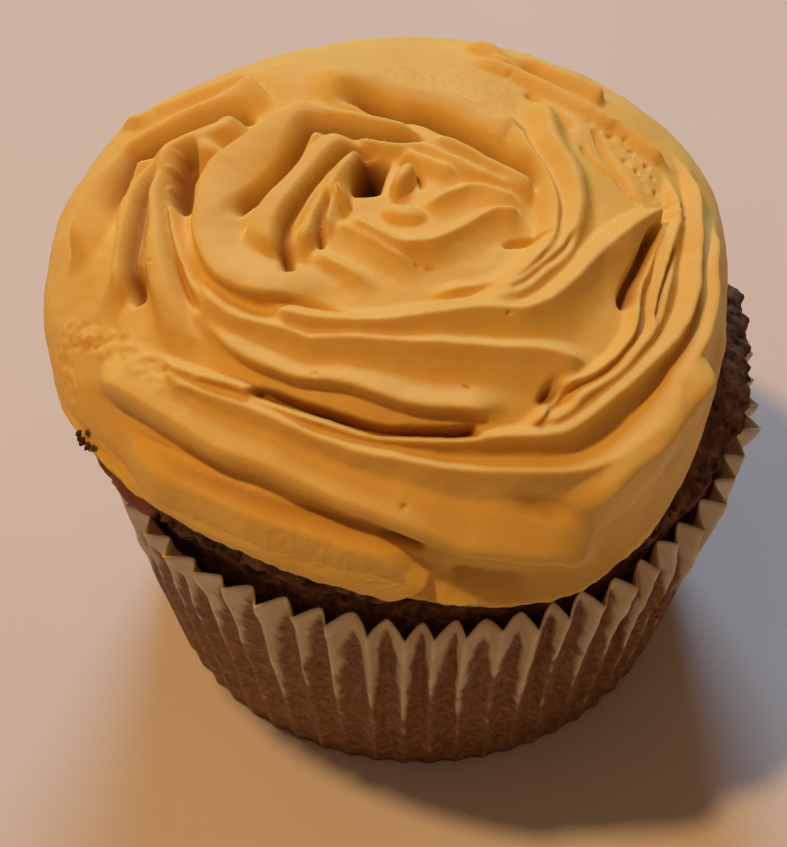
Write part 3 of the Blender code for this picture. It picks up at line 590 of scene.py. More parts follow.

# Ridges left by the star nozzle: name, height, width and profile of the flank towards the centre
# and of the one away from it, length of the faded ends, all in mm, and the crest as traced
# in the photo, in its pixels.
ridges = [
    ("rimLeft", 1.1, (1.0, "even"), (2.5, "soft"), (4, 6),
     [(266, 70), (240, 74), (220, 80), (160, 104), (140, 114), (122, 127), (110, 141)]),
    ("leftBandOne", 2.1, (2.3, "round"), (1.3, "round"), (1, 5),
     [(262, 83), (200, 104), (160, 122), (122, 146), (96, 176), (86, 196), (71, 245), (67, 275)]),
    ("leftBandTwo", 2.1, (0.5, "step"), (2.6, "round"), (1, 5),
     [(244, 121), (220, 126), (180, 141), (165, 150), (142, 177), (134, 192), (124, 222), (119, 260),
      (114, 300), (110, 315)]),
    ("leftBandThree", 1.9, (1.7, "step"), (1.6, "round"), (2, 9),
     [(235, 146), (180, 148), (170, 154), (162, 164), (152, 190), (149, 245), (153, 285), (168, 325),
      (182, 343), (200, 357)]),
    ("leftStrand", 1.2, (0.9, "sharp"), (0.45, "step"), (2, 4),
     [(169, 172), (168, 210), (176, 250), (190, 284), (216, 314)]),
    ("lowerRope", 2.5, (4.6, "sharp"), (2.4, "round"), (5, 6),
     [(88, 366), (105, 379), (145, 403), (205, 439), (250, 458), (300, 482), (380, 514), (460, 545),
      (480, 549), (535, 557), (565, 558), (590, 553), (610, 545)]),
    ("lobe", 2.3, (0.9, "round"), (10.0, "step"), (8, 1.0),
     [(110, 434), (140, 452), (200, 489), (240, 507), (300, 531), (340, 545), (380, 558), (430, 580)]),
    ("lobeBehind", 0.5, (1.5, "even"), (9.0, "step"), (1, 4),
     [(436, 583), (480, 588), (520, 586), (550, 577)]),
    ("frontRopeOuter", 2.1, (1.0, "sharp"), (4.6, "sharp"), (4, 10),
     [(150, 362), (170, 377), (190, 388), (235, 404), (300, 433), (340, 443), (400, 458), (440, 465),
      (470, 468), (530, 472), (590, 467), (610, 462), (630, 452), (669, 417), (677, 404), (687, 374),
      (712, 330), (720, 292), (722, 250), (716, 212), (710, 197)]),
    ("frontRopeInner", 2.0, (0.7, "step"), (2.3, "sharp"), (4, 10),
     [(150, 352), (163, 363), (180, 372), (240, 390), (258, 401), (300, 418), (360, 432), (420, 439),
      (460, 440), (530, 437), (560, 433), (576, 428), (608, 408), (640, 378), (678, 340), (690, 323),
      (698, 305), (706, 262), (707, 245), (704, 212), (693, 175), (684, 158), (672, 143)]),
    ("rightShoulder", 2.7, (2.6, "round"), (4.6, "even"), (6, 6),
     [(560, 520), (578, 512), (635, 478), (665, 450), (700, 403), (708, 386), (716, 350)]),
    ("rightSeam", 1.6, (0.5, "step"), (0.6, "even"), (3, 3),
     [(510, 433), (528, 427), (543, 417), (563, 393), (575, 383), (590, 378), (605, 368), (622, 352),
      (635, 335), (641, 318), (648, 282), (657, 262), (668, 220)]),
    ("rightStrand", 1.6, (0.4, "step"), (2.6, "even"), (3, 6),
     [(525, 430), (565, 413), (577, 405), (585, 395), (612, 378), (628, 362), (655, 328), (662, 310),
      (672, 270), (680, 225), (681, 205), (668, 166)]),
    ("valleyCrest", 1.7, (3.4, "sharp"), (0.9, "step"), (8, 3.0),
     [(190, 302), (232, 342), (255, 358), (280, 369), (300, 375), (340, 378), (360, 382), (420, 400),
      (480, 407), (492, 413), (500, 424)]),
    ("secondLoopFront", 1.9, (2.0, "sharp"), (4.2, "sharp"), (5, 4),
     [(194, 268), (207, 290), (225, 307), (250, 319), (300, 334), (320, 337), (400, 339), (520, 345),
      (582, 361), (602, 373)]),
    ("secondLoopFold", 2.3, (1.8, "even"), (4.6, "sharp"), (3, 1.2),
     [(262, 306), (300, 314), (340, 318), (380, 318), (420, 313), (480, 306), (525, 306), (545, 300),
      (561, 291), (604, 246), (658, 212)]),
    ("secondLoopRear", 1.9, (1.5, "even"), (3.0, "soft"), (4, 5),
     [(455, 303), (485, 298), (505, 291), (525, 279), (558, 248), (570, 231), (577, 214), (579, 197),
      (577, 180), (571, 161), (551, 126), (532, 90)]),
    ("secondLoopRight", 1.9, (1.2, "round"), (1.8, "even"), (4, 5),
     [(470, 298), (495, 291), (515, 279), (532, 265), (546, 248), (555, 230), (559, 212), (558, 195),
      (553, 177), (544, 159), (531, 142), (515, 127), (495, 114)]),
    ("secondLoopBack", 1.8, (2.5, "round"), (3.0, "soft"), (3, 4),
     [(531, 142), (515, 127), (495, 114), (470, 102), (440, 92), (380, 77), (350, 72), (325, 72),
      (300, 76)]),
    ("innerLoopRear", 1.8, (1.7, "round"), (0.9, "even"), (4, 3),
     [(543, 205), (537, 188), (510, 164), (470, 142), (445, 132), (395, 118), (370, 113), (315, 103),
      (295, 104), (270, 113)]),
    ("innerLoopLeft", 2.2, (4.4, "round"), (1.0, "round"), (4, 7),
     [(330, 105), (310, 103), (290, 105), (270, 113), (216, 153), (205, 167), (198, 183), (193, 222),
      (197, 242), (205, 258), (218, 271), (236, 281), (256, 287), (280, 291), (335, 301)]),
    ("bandOneRear", 1.5, (1.0, "even"), (0.7, "even"), (3, 3),
     [(528, 194), (485, 167), (445, 148), (420, 140), (380, 137), (340, 131)]),
    ("bandOne", 1.9, (3.3, "step"), (1.1, "step"), (3, 5),
     [(365, 136), (332, 135), (318, 142), (298, 165), (262, 208), (254, 223), (250, 240), (253, 256),
      (262, 270)]),
    ("bandTwo", 1.8, (1.0, "step"), (1.1, "even"), (2, 4),
     [(372, 147), (356, 151), (343, 160), (322, 187), (306, 217), (301, 232), (301, 248), (308, 262)]),
    ("holeRim", 1.7, (1.2, "even"), (0.6, "even"), (0.8, 3),
     [(362, 151), (350, 158), (340, 169), (334, 183), (325, 226), (330, 240)]),
    ("rearPetal", 1.3, (1.4, "even"), (0.8, "even"), (2, 2),
     [(464, 176), (424, 153), (408, 149), (394, 150)]),
    ("centrePetal", 1.3, (1.0, "even"), (2.6, "sharp"), (2, 3),
     [(424, 206), (432, 197), (445, 189), (460, 184), (480, 182), (535, 206)]),
    ("centreFold", 1.8, (1.0, "even"), (3.2, "sharp"), (2, 2),
     [(352, 208), (362, 218), (398, 236), (420, 238), (440, 233), (495, 207), (512, 206), (527, 211)]),
    ("strandOne", 1.1, (1.0, "even"), (2.4, "sharp"), (2, 3),
     [(334, 214), (350, 227), (392, 249), (430, 274)]),
    ("strandTwo", 1.0, (1.1, "even"), (2.0, "sharp"), (2, 3),
     [(318, 246), (330, 257), (380, 290)]),
    ("strandThree", 1.0, (1.2, "even"), (0.6, "even"), (3, 3),
     [(420, 298), (482, 284), (502, 276), (520, 265), (535, 252), (545, 238)]),
    ("rearStrip", 1.5, (0.6, "even"), (1.4, "round"), (1, 4),
     [(604, 102), (560, 68), (540, 58), (500, 46), (455, 40)]),
    ("rearRim", 1.3, (1.3, "soft"), (0.7, "even"), (3, 5),
     [(672, 172), (666, 158), (655, 143), (622, 118), (605, 111), (540, 75), (490, 58), (460, 53)]),
]

# Grooves between the turns of the swirl, in the same form; beside its depth stands the height of the
# paste, mm over the mean surface, at which a groove's line was traced.
grooves = [
    ("thinRear", (1.2, 0.6), (0.4, "even"), (0.5, "even"), (2, 7),
     [(266, 75), (220, 88), (180, 104), (140, 124), (122, 137)]),
    ("slotOne", (2.5, 0.6), (0.5, "even"), (1.4, "even"), (1.2, 6),
     [(251, 105), (220, 115), (180, 131), (140, 151), (127, 161), (110, 190), (105, 205), (103, 225)]),
    ("slotTwoRear", (2.0, 0.6), (0.5, "even"), (0.7, "even"), (1.0, 3),
     [(243, 135), (232, 140), (205, 145)]),
    ("slotTwo", (2.7, 0.3), (1.3, "even"), (0.5, "even"), (5, 1.2),
     [(166, 157), (149, 180), (136, 207), (129, 240), (127, 302)]),
    ("slotThin", (1.6, 0.4), (0.4, "even"), (0.45, "even"), (2, 3),
     [(170, 165), (163, 200), (167, 240), (177, 275), (191, 302), (200, 314)]),
    ("pocket", (2.6, 0.1), (1.1, "round"), (1.2, "round"), (1.5, 2),
     [(205, 152), (192, 158), (184, 168), (179, 182), (178, 212)]),
    ("underLowerRope", (1.7, 0.2), (0.8, "even"), (0.5, "even"), (16, 1),
     [(110, 419), (150, 446), (190, 470), (230, 489), (270, 504), (330, 525), (370, 537), (428, 555)]),
    ("behindTheLobe", (0.8, -0.5), (1.4, "even"), (3.0, "soft"), (1.5, 4),
     [(446, 574), (510, 578), (545, 574)]),
    ("frontSlot", (3.0, -0.3), (0.9, "round"), (0.45, "even"), (0.6, 0.6),
     [(252, 392), (262, 398), (300, 411), (340, 421), (380, 431), (430, 434), (460, 434), (480, 431)]),
    ("rightPocket", (2.2, -0.3), (1.2, "round"), (0.5, "even"), (2, 2),
     [(541, 412), (558, 390), (568, 383)]),
    ("rightPocketUpper", (2.3, 0.0), (1.3, "round"), (0.6, "even"), (2, 2.5),
     [(633, 310), (633, 298), (637, 283), (652, 252), (662, 222)]),
    ("crack", (1.5, 0.2), (0.35, "even"), (0.35, "even"), (2, 1),
     [(652, 323), (658, 312), (678, 246)]),
    ("rightValley", (0.8, -0.2), (2.2, "soft"), (0.7, "even"), (4, 2.5),
     [(500, 512), (525, 513), (575, 524)]),
    ("slotA", (2.1, 0.6), (0.5, "even"), (0.9, "round"), (4, 4),
     [(541, 192), (536, 177), (527, 164), (515, 153), (500, 142), (460, 122), (420, 108), (400, 105),
      (355, 91), (320, 88)]),
    ("slotB", (2.4, 0.6), (0.45, "even"), (1.1, "round"), (4, 3),
     [(445, 141), (430, 135), (380, 132), (340, 124), (320, 124), (306, 129), (277, 165), (243, 198),
      (231, 222)]),
    ("slotBrear", (0.9, 0.6), (0.6, "even"), (0.6, "even"), (3, 3),
     [(520, 184), (480, 157), (430, 137)]),
    ("slotC", (2.6, 0.5), (0.95, "even"), (0.45, "even"), (3, 0.8),
     [(384, 141), (354, 144), (341, 150), (328, 161), (305, 187), (288, 212), (282, 227), (280, 245),
      (284, 271)]),
    ("slotD", (2.0, 0.3), (0.5, "even"), (0.4, "even"), (1.5, 0.8),
     [(330, 190), (319, 216), (317, 230), (319, 242)]),
    ("underFold", (1.0, -0.3), (0.4, "even"), (0.5, "even"), (2, 2),
     [(262, 298), (300, 304), (340, 312), (356, 311)]),
    ("hole", (5.5, -0.6), (1.35, "round"), (1.35, "round"), (1.2, 1.2),
     [(378, 156), (371, 168), (367, 182), (367, 194)]),
    ("pillarSeam", (1.2, 0.2), (0.4, "even"), (0.4, "even"), (1, 1),
     [(424, 181), (419, 169), (409, 159), (396, 155)]),
    ("loopGroove", (0.8, 0.0), (0.5, "even"), (0.5, "even"), (2, 2),
     [(500, 294), (522, 283), (542, 267), (560, 250), (572, 232)]),
    ("strandGroove", (0.6, 0.0), (0.4, "even"), (0.4, "even"), (2, 2),
     [(500, 286), (520, 275), (536, 262), (548, 247)]),
    ("rearWedge", (1.1, 0.4), (0.4, "even"), (0.7, "even"), (1.5, 0.6),
     [(580, 122), (565, 106), (548, 96), (530, 81)]),
    ("pittedSlot", (1.0, 0.4), (0.4, "even"), (0.5, "even"), (1.5, 1.5),
     [(640, 190), (612, 146), (598, 118)]),
    ("facetSeam", (0.9, 0.3), (0.35, "even"), (0.35, "even"), (2, 1),
     [(652, 202), (600, 153), (586, 135)]),
    ("rearSeam", (1.3, 0.5), (0.35, "even"), (0.6, "even"), (0.6, 3),
     [(606, 107), (584, 91), (540, 64), (520, 54), (480, 43)]),
]

# Lumps and pits: name, height, reach along and across, turn of the long side in degrees, pixel in the
# photo, and height of the paste there over the mean surface; lengths in mm.
lumps = [
    ("pillar", 1.9, 2.1, 1.0, 70, (403, 172), 0.6),
    ("innerLobe", 0.9, 2.2, 1.3, 0, (406, 206), 0.4),
    ("flake", 1.7, 1.1, 0.4, 105, (343, 190), 0.8),
    ("foldPocket", -1.0, 2.2, 0.5, 20, (524, 243), -0.8),
    ("pocketLumpOne", 0.7, 0.5, 0.4, 40, (180, 180), -1.0),
    ("pocketLumpTwo", 0.6, 0.4, 0.35, 0, (188, 168), -1.0),
    ("pocketLumpThree", 0.6, 0.35, 0.5, 0, (176, 196), -1.0),
    ("swelling", 0.4, 3.0, 1.5, 60, (700, 378), 1.0),
    ("airOne", -0.5, 0.4, 0.2, 0, (404, 503), 0.2),
    ("airTwo", -0.45, 0.4, 0.18, 0, (468, 385), 0.2),
    ("airThree", -0.45, 0.45, 0.16, -15, (315, 375), 0.8),
    ("airFour", -0.4, 0.25, 0.2, 20, (505, 315), 0.2),
    ("airFive", -0.4, 0.3, 0.2, -10, (418, 266), -0.3),
    ("airSix", -0.4, 0.35, 0.2, 0, (430, 268), -0.3),
    ("airSeven", -0.35, 0.2, 0.2, 0, (155, 265), 0.3),
    ("airEight", -0.5, 0.35, 0.2, 0, (90, 345), 0.0),
    ("pitOne", -0.5, 0.35, 0.25, 40, (617, 126), 0.5),
    ("pitTwo", -0.45, 0.3, 0.22, 100, (631, 131), 0.5),
    ("pitThree", -0.5, 0.4, 0.22, 120, (640, 142), 0.5),
    ("pitFour", -0.55, 0.5, 0.25, 110, (633, 152), 0.5),
    ("pitFive", -0.5, 0.3, 0.3, 0, (655, 157), 0.5),
    ("pitSix", -0.5, 0.45, 0.25, 100, (645, 163), 0.5),
    ("pitSeven", -0.45, 0.3, 0.2, 90, (660, 169), 0.5),
    ("pitEight", -0.5, 0.35, 0.25, 90, (664, 183), 0.5),
    ("pitNine", -0.5, 0.4, 0.25, 100, (675, 201), 0.5),
    ("pitTen", -0.6, 0.5, 0.3, 100, (683, 208), 0.5),
    ("pitEleven", -0.4, 0.5, 0.2, 130, (574, 117), 0.5),
    ("pitTwelve", -0.4, 0.4, 0.25, 160, (512, 67), 0.5),
]

# Places where the paste is torn or open: name, size of the grain, height, half width and height of the
# paste there, all in mm, and the line in the photo's pixels.
torn = [
    ("crust", 2.2, 0.22, 2.2, 0.3, [(62, 330), (95, 338), (130, 352), (165, 372), (190, 384)]),
    ("crustGrain", 0.8, 0.07, 2.2, 0.3, [(62, 330), (95, 338), (130, 352), (165, 372)]),
    ("crustEdge", 0.9, 0.1, 1.6, 0.3, [(52, 345), (56, 370), (64, 398)]),
    ("pittedSeam", 1.2, 0.09, 1.6, 0.5, [(590, 105), (617, 128), (645, 155), (665, 185), (685, 212)]),
    ("speckledLobe", 0.5, 0.05, 3.0, 0.3, [(190, 488), (240, 510), (330, 545), (405, 577)]),
    ("speckledFacet", 0.6, 0.035, 4.0, 0.3, [(395, 62), (445, 70), (495, 88)]),
]


def flatPlace(degrees, distance):
    angle = np.radians(degrees)
    return np.stack([distance * np.cos(angle), distance * np.sin(angle)], axis=-1)


def smoothLine(points, steps=6):
    # rounded line through the crest points, laid out flat as seen over the dome
    flat = [flatPlace(a, s * mm) for a, s in points]
    knots = np.array([flat[0]] + flat + [flat[-1]])
    line = []
    for k in range(1, len(knots) - 2):
        p0, p1, p2, p3 = knots[k - 1:k + 3]
        for j in range(steps):
            t = j / steps
            line.append(0.5 * (2 * p1 + (p2 - p0) * t + (2 * p0 - 5 * p1 + 4 * p2 - p3) * t * t
                               + (3 * p1 - p0 - 3 * p2 + p3) * t ** 3))
    line.append(knots[-2])
    return np.array(line)


def alongLine(flat, line):
    # for every place: distance to the line, side of it, and how far it is from the start and the end
    start = line[:-1]
    span = line[1:] - start
    length = np.hypot(span[:, 0], span[:, 1])
    along = np.concatenate([[0.0], np.cumsum(length)])
    best = np.full(len(flat), 1e9)
    side = np.zeros(len(flat))
    fromStart = np.zeros(len(flat))
    for k in range(len(start)):
        offset = flat - start[k]
        t = np.clip((offset @ span[k]) / max(length[k] ** 2, 1e-12), 0.0, 1.0)
        gap = offset - t[:, None] * span[k]
        distance = np.hypot(gap[:, 0], gap[:, 1])
        closer = distance < best
        best[closer] = distance[closer]
        side[closer] = (span[k][0] * gap[:, 1] - span[k][1] * gap[:, 0])[closer]
        fromStart[closer] = (along[k] + t * length[k])[closer]
    return best, side, fromStart, along[-1] - fromStart


def nearLine(flat, line, reach):
    return np.all((flat > line.min(axis=0) - reach) & (flat < line.max(axis=0) + reach), axis=1)


def ridgeHeight(flat, ridge):
    name, height, inner, outer, fade, points = ridge
    line = smoothLine(points)
    near = nearLine(flat, line, max(inner[0], outer[0]) * mm)
    result = np.zeros(len(flat))
    best, side, fromStart, fromEnd = alongLine(flat[near], line)
    inside = side > 0
    (topIn, footIn), (topOut, footOut) = swirl["profiles"][inner[1]], swirl["profiles"][outer[1]]
    width = np.where(inside, inner[0], outer[0]) * mm
    part = np.clip(best / width, 0.0, 1.0) ** np.where(inside, topIn, topOut)
    flank = (1.0 - part) ** np.where(inside, footIn, footOut)
    ends = smoothStep(0.0, fade[0] * mm, fromStart) * smoothStep(0.0, fade[1] * mm, fromEnd)
    result[near] = height * mm * flank * ends
    return result


def highest(rows, flat):
    # the highest row at each place, with softened joins
    total = np.zeros(len(flat))
    for row in rows:
        total += ridgeHeight(flat, row) ** swirl["blend"]
    return total ** (1 / swirl["blend"])


def lumpHeight(flat, lump):
    name, height, along, across, turn, pixel, level = lump
    degrees, distance = placeTraced([pixel], level)[0]
    offset = flat - flatPlace(degrees, distance * mm)
    angle = math.radians(turn)
    u = (offset[:, 0] * math.cos(angle) + offset[:, 1] * math.sin(angle)) / (along * mm)
    v = (offset[:, 1] * math.cos(angle) - offset[:, 0] * math.sin(angle)) / (across * mm)
    return height * mm * np.clip(1.0 - (u * u + v * v) ** swirl["lumpPower"], 0.0, 1.0)


def tornHeight(flat, zone, seed):
    name, size, height, halfWidth, level, traced = zone
    line = smoothLine(placeTraced(traced, level))
    near = nearLine(flat, line, halfWidth * mm)
    result = np.zeros(len(flat))
    best = alongLine(flat[near], line)[0]
    solid = np.column_stack([flat[near], np.zeros(near.sum())])
    rough = grains(solid, [(share * size * mm, rise) for share, rise in swirl["tornLayers"]], seed)
    result[near] = height * mm * rough * smoothStep(0.0, swirl["tornEdge"], 1.0 - best / (halfWidth * mm))
    return result


def wandered(flat):
    # the crest lines of soft paste waver a little
    solid = np.column_stack([flat, np.zeros(len(flat))])
    shifted = flat.copy()
    for number, (size, reach) in enumerate(swirl["wander"]):
        for axis in (0, 1):
            shifted[:, axis] += reach * grain(solid, size, swirl["seed"] + 2 * number + axis)
    return shifted


def blurred(field, reach):
    # bell-shaped blur on a square grid, reach in steps of the grid
    span = int(3 * reach + 1)
    bell = np.exp(-0.5 * (np.arange(-span, span + 1) / reach) ** 2)
    bell /= bell.sum()
    for axis in (0, 1):
        field = np.apply_along_axis(np.convolve, axis, field, bell, "same")
    return field


def seenAt(degrees, distance, level):
    # photo pixels and depth of places on the swirl; distance and level of the paste in mm
    flat = flatPlace(degrees, distance * mm)
    return photoPixels(np.stack(swirlPoints(degrees, distance * mm, level * mm + mound(flat)), axis=1))


@cache
def swirlNet(level):
    # a fine net over the swirl at one level: directions, distances, pixels and depth
    net = np.meshgrid(np.arange(*placing["turns"]), np.arange(*placing["distances"]))
    degrees, distance = net[0].ravel(), net[1].ravel()
    return degrees, distance, *seenAt(degrees, distance, np.full(len(degrees), level))


def levelOf(places, height, fade):
    # a plain level, or that of a crest whose ends fade out
    if fade is None:
        return np.full(len(places), float(height))
    steps = np.hypot(*np.diff(flatPlace(places[:, 0], places[:, 1]), axis=0).T)
    along = np.concatenate([[0.0], np.cumsum(steps)])
    ends = smoothStep(0.0, fade[0], along) * smoothStep(0.0, fade[1], along[-1] - along)
    return height * np.maximum(ends, placing["lowestEnd"]) - swirl["meanLevel"] / mm


def placeTraced(traced, height, fade=None):
    # places on the swirl, (degrees, mm over the dome), that the camera sees at the traced pixels:
    # first the front mark of the net there, then a few steps closer
    traced = np.array(traced, float)
    guess = height if fade is None else placing["meanCrest"] * height - swirl["meanLevel"] / mm
    degrees, distance, pixels, depth = swirlNet(round(guess, 1))
    places = np.zeros((len(traced), 2))
    for k, pixel in enumerate(traced):
        miss = np.hypot(*(pixels - pixel).T)
        near = miss < max(placing["nearPixels"], placing["nearShare"] * miss.min())
        front = np.argmin(np.where(near, depth, np.inf))
        places[k] = degrees[front], distance[front]
    turn, move = placing["trial"]
    limit = np.array(placing["largestMove"])
    for attempt in range(placing["rounds"]):
        level = levelOf(places, height, fade)
        here = seenAt(places[:, 0], places[:, 1], level)[0]
        turned = (seenAt(places[:, 0] + turn, places[:, 1], level)[0] - here) / turn
        moved = (seenAt(places[:, 0], places[:, 1] + move, level)[0] - here) / move
        for k, miss in enumerate(traced - here):
            slopes = np.stack([turned[k], moved[k]], axis=1)
            step = np.linalg.solve(slopes.T @ slopes + placing["damping"] * np.eye(2), slopes.T @ miss)
            places[k] += np.clip(placing["damping"] * step, -limit, limit)
        places[:, 1] = np.clip(places[:, 1], *placing["reach"])
    return places


def placedRows():
    crests = [(name, height, inner, outer, fade, placeTraced(traced, height, fade))
              for name, height, inner, outer, fade, traced in ridges]
    cuts = [(name, depth, inner, outer, fade, placeTraced(traced, level))
            for name, (depth, level), inner, outer, fade, traced in grooves]
    return crests, cuts


def reliefMap():
    # laid out flat on a square grid: softened ridges with the crisper grooves taken off, then lumps,
    # pits, torn places and the unevenness of the paste; the depth of the grooves is kept as well, to paint
    # shade into them
    edge = domeSection()[2][-1] + swirl["wall"] + swirl["mapMargin"]
    ticks = np.arange(-edge, edge, swirl["mapStep"])
    flat = np.stack(np.meshgrid(ticks, ticks, indexing="ij"), axis=-1).reshape(-1, 2)
    places = wandered(flat)
    square = (len(ticks), len(ticks))
    raised, grooveDepthAndShade = (blurred(highest(rows, places).reshape(square), soft / swirl["mapStep"]).ravel()
                   for rows, soft in zip(placedRows(), swirl["soften"]))
    relief = raised - grooveDepthAndShade - swirl["meanLevel"]
    for lump in lumps:
        relief += lumpHeight(places, lump)
    for number, zone in enumerate(torn):
        relief += tornHeight(flat, zone, swirl["seed"] + 20 + 2 * number)
    relief += grains(np.column_stack([flat, np.zeros(len(flat))]), swirl["swell"], swirl["seed"] + 50)
    return ticks, relief.reshape(square), grooveDepthAndShade.reshape(square)


def readMap(ticks, field, flat):
    # value between the marks of the grid
    where = (flat - ticks[0]) / (ticks[1] - ticks[0])
    index = np.clip(np.floor(where).astype(int), 0, len(ticks) - 2)
    part = where - index
    i, j = index.T
    a, b = part.T
    near = field[i, j] * (1 - b) + field[i, j + 1] * b
    far = field[i + 1, j] * (1 - b) + field[i + 1, j + 1] * b
    return near * (1 - a) + far * a


def mound(flat):
    # the second turn stands higher where the rope climbs over itself at the rear left
    degrees, distance, height, width = swirl["mound"]
    reach = np.hypot(*(flat - flatPlace(degrees, distance)).T)
    return height * np.exp(-(reach / width) ** 2)


def domeSection():
    # from the top out to the widest line: radius, height and distance over the dome
    t = np.linspace(0.0, math.pi / 2, swirl["sectionSteps"])
    radius = swirl["radius"] * np.sin(t) ** swirl["widthPower"]
    drop = np.clip(np.cos(t), 0, 1) ** swirl["heightPower"]
    height = swirl["widestAt"] + (swirl["top"] - swirl["widestAt"]) * drop
    distance = np.concatenate([[0.0], np.cumsum(np.hypot(np.diff(radius), np.diff(height)))])
    return radius, height, distance


def swirlPoints(degrees, distance, lift):
    # places on the swirl for directions and distances over the dome
    radius, height, length = domeSection()
    leaned = distance + swirl["lean"] * np.maximum(lift, 0.0) * np.clip(distance / swirl["leanFrom"], 0, 1)
    leaned = np.minimum(leaned, length[-1] + swirl["wall"])
    onWall = np.clip((leaned - length[-1]) / swirl["wall"], 0.0, 1.0)
    r = np.interp(leaned, length, radius)
    z = np.interp(leaned, length, height)
    z = z + aroundCurve(swirl["rise"], degrees) * mm * (leaned / length[-1]) ** 2
    nr = -np.interp(leaned, length, np.gradient(height, length))
    nz = np.interp(leaned, length, np.gradient(radius, length))
    size = np.hypot(nr, nz)
    edge = aroundCurve(swirl["edgeAt"], degrees) * mm
    tuck = aroundCurve(swirl["tuck"], degrees) * mm * onWall ** swirl["tuckPower"]
    r = r * aroundCurve(swirl["reach"], degrees) - tuck
    z = z - onWall * (swirl["widestAt"] - edge)
    settle = 1.0 - swirl["wallCalm"] * onWall ** swirl["calmPower"]
    r = r + nr / size * lift * settle
    z = z + nz / size * lift * settle
    x = swirl["centre"][0] + r * np.cos(np.radians(degrees))
    y = swirl["centre"][1] + r * np.sin(np.radians(degrees))
    rim = onWall > swirl["waverFrom"]
    ring = np.column_stack([x[rim], y[rim], np.zeros(rim.sum())])
    share = (onWall[rim] - swirl["waverFrom"]) / (1.0 - swirl["waverFrom"])
    z[rim] += grains(ring, swirl["edgeWaver"], swirl["seed"] + 10) * share
    resting = crownHeight(x, y) + sponge["gap"] + swirl["edgeLift"]
    return x, y, np.maximum(z, resting)


def makeButtercream(layout):
    # a flat disc of two skins, spun, then draped: the upper skin becomes the piped swirl and the
    # lower one lies on the crown of the sponge
    total = domeSection()[2][-1] + swirl["wall"]
    chain = [(total * k / swirl["rings"], 0, 0) for k in range(swirl["rings"] + 1)]
    chain += [(total * part, 0, -1.0) for part in swirl["underRings"]]
    piece = spunSheet("buttercreamSwirl", chain, swirl["sectors"])
    x, y, z = corners(piece).T
    degrees = np.degrees(np.arctan2(y, x))
    below = z < -0.5
    distance = np.where(below, total, np.hypot(x, y))
    share = np.where(below, np.hypot(x, y) / total, 1.0)
    flat = flatPlace(degrees, distance)
    ticks, relief, grooveDepthAndShade = layout
    lift = readMap(ticks, relief, flat) + mound(flat)
    x, y, z = swirlPoints(degrees, distance, lift)
    x = swirl["centre"][0] + (x - swirl["centre"][0]) * share
    y = swirl["centre"][1] + (y - swirl["centre"][1]) * share
    resting = crownHeight(x, y) + sponge["gap"]
    hanging = resting + (z - swirl["lip"] - resting) * smoothStep(*swirl["lipSpan"], share)
    z = np.where(below, hanging, z)
    moveCorners(piece, np.stack([x, y, z], axis=1))
    # the depth of the grooves, stored so that the material paints shade into them
    paintAttribute(piece, "grooveDepthAndShade", np.where(below, 0.0, readMap(ticks, grooveDepthAndShade, flat) / mm))
    outwards(piece)
    triangles = sum(len(face.vertices) - 2 for face in piece.data.polygons)
    finishWith(piece, "DECIMATE", ratio=swirl["keepTriangles"] / triangles)
    choose(piece)
    bpy.ops.object.shade_smooth()
    return piece


def buttercreamMaterial():
    # whipped coffee buttercream: fat and fine sugar, satin and a little see-through at thin edges
    item, tree, shader = newMaterial("whippedCoffeeButtercream")
    spot = addNode(tree, "ShaderNodeTexCoord").outputs["Object"]
    cloud = addNode(tree, "ShaderNodeTexNoise", {"Scale": 1 / (9 * mm), "Detail": 3.0}, {"Vector": spot})
    tone = addNode(tree, "ShaderNodeValToRGB", links={"Fac": cloud.outputs["Fac"]},
                   stops=[(0.3, "#e9bd5a"), (0.7, "#f1c968")])
    # painted shade: the paste is painted browner the deeper a groove is, and the eye of the swirl is painted
    # nearly black as its shadow
    grooveDepthAndShade = addNode(tree, "ShaderNodeAttribute", {"attribute_name": "grooveDepthAndShade"})
    paintedShade = addNode(tree, "ShaderNodeMapRange", {"From Min": 0.3, "From Max": 2.4, "To Max": 0.85},
                   {"Value": grooveDepthAndShade.outputs["Fac"]})
    dark = addNode(tree, "ShaderNodeValToRGB", links={"Fac": addNode(
        tree, "ShaderNodeMapRange", {"From Min": 2.6, "From Max": 4.5}, {"Value": grooveDepthAndShade.outputs["Fac"]}
    ).outputs["Result"]}, stops=[(0.0, "#9a5a20"), (1.0, "#2a170b")])
    colour = addNode(tree, "ShaderNodeMixRGB", links={"Fac": paintedShade.outputs["Result"],
                     "Color1": tone.outputs["Color"], "Color2": dark.outputs["Color"]})
    tree.links.new(colour.outputs["Color"], shader.inputs["Base Color"])
    sugar = addNode(tree, "ShaderNodeTexNoise", {"Scale": 1 / (0.45 * mm), "Detail": 4.0, "Roughness": 0.6},
                    {"Vector": spot})
    bump = addNode(tree, "ShaderNodeBump", {"Strength": 0.2, "Distance": 0.15 * mm},
                   {"Height": sugar.outputs["Fac"]})
    tree.links.new(bump.outputs["Normal"], shader.inputs["Normal"])
    shader.inputs["Roughness"].default_value = 0.58
    shader.inputs["Specular IOR Level"].default_value = 0.2
    shader.inputs["Subsurface Weight"].default_value = 0.35
    shader.inputs["Subsurface Radius"].default_value = (1.0, 0.5, 0.15)
    shader.inputs["Subsurface Scale"].default_value = 1.4 * mm
    return item


crumbs = {
    # cluster under the left edge of the buttercream: pixel in the photo, and size, mm
    "traced": [((78, 434), 0.6), ((82, 441), 0.8), ((87, 446), 0.7), ((84, 434), 0.5), ((92, 449), 0.55),
               ((76, 440), 0.42)],
    "level": -0.3,
    "squeeze": (0.75, 1.15),
    "grains": ((0.35, 1.1), (0.16, 0.5)),      # share of the crumb's size, height
    "outShare": 0.3,           # how far a crumb stands out and hangs down, as a share of its size
    "downShare": 0.1,
    "seed": 3,
}


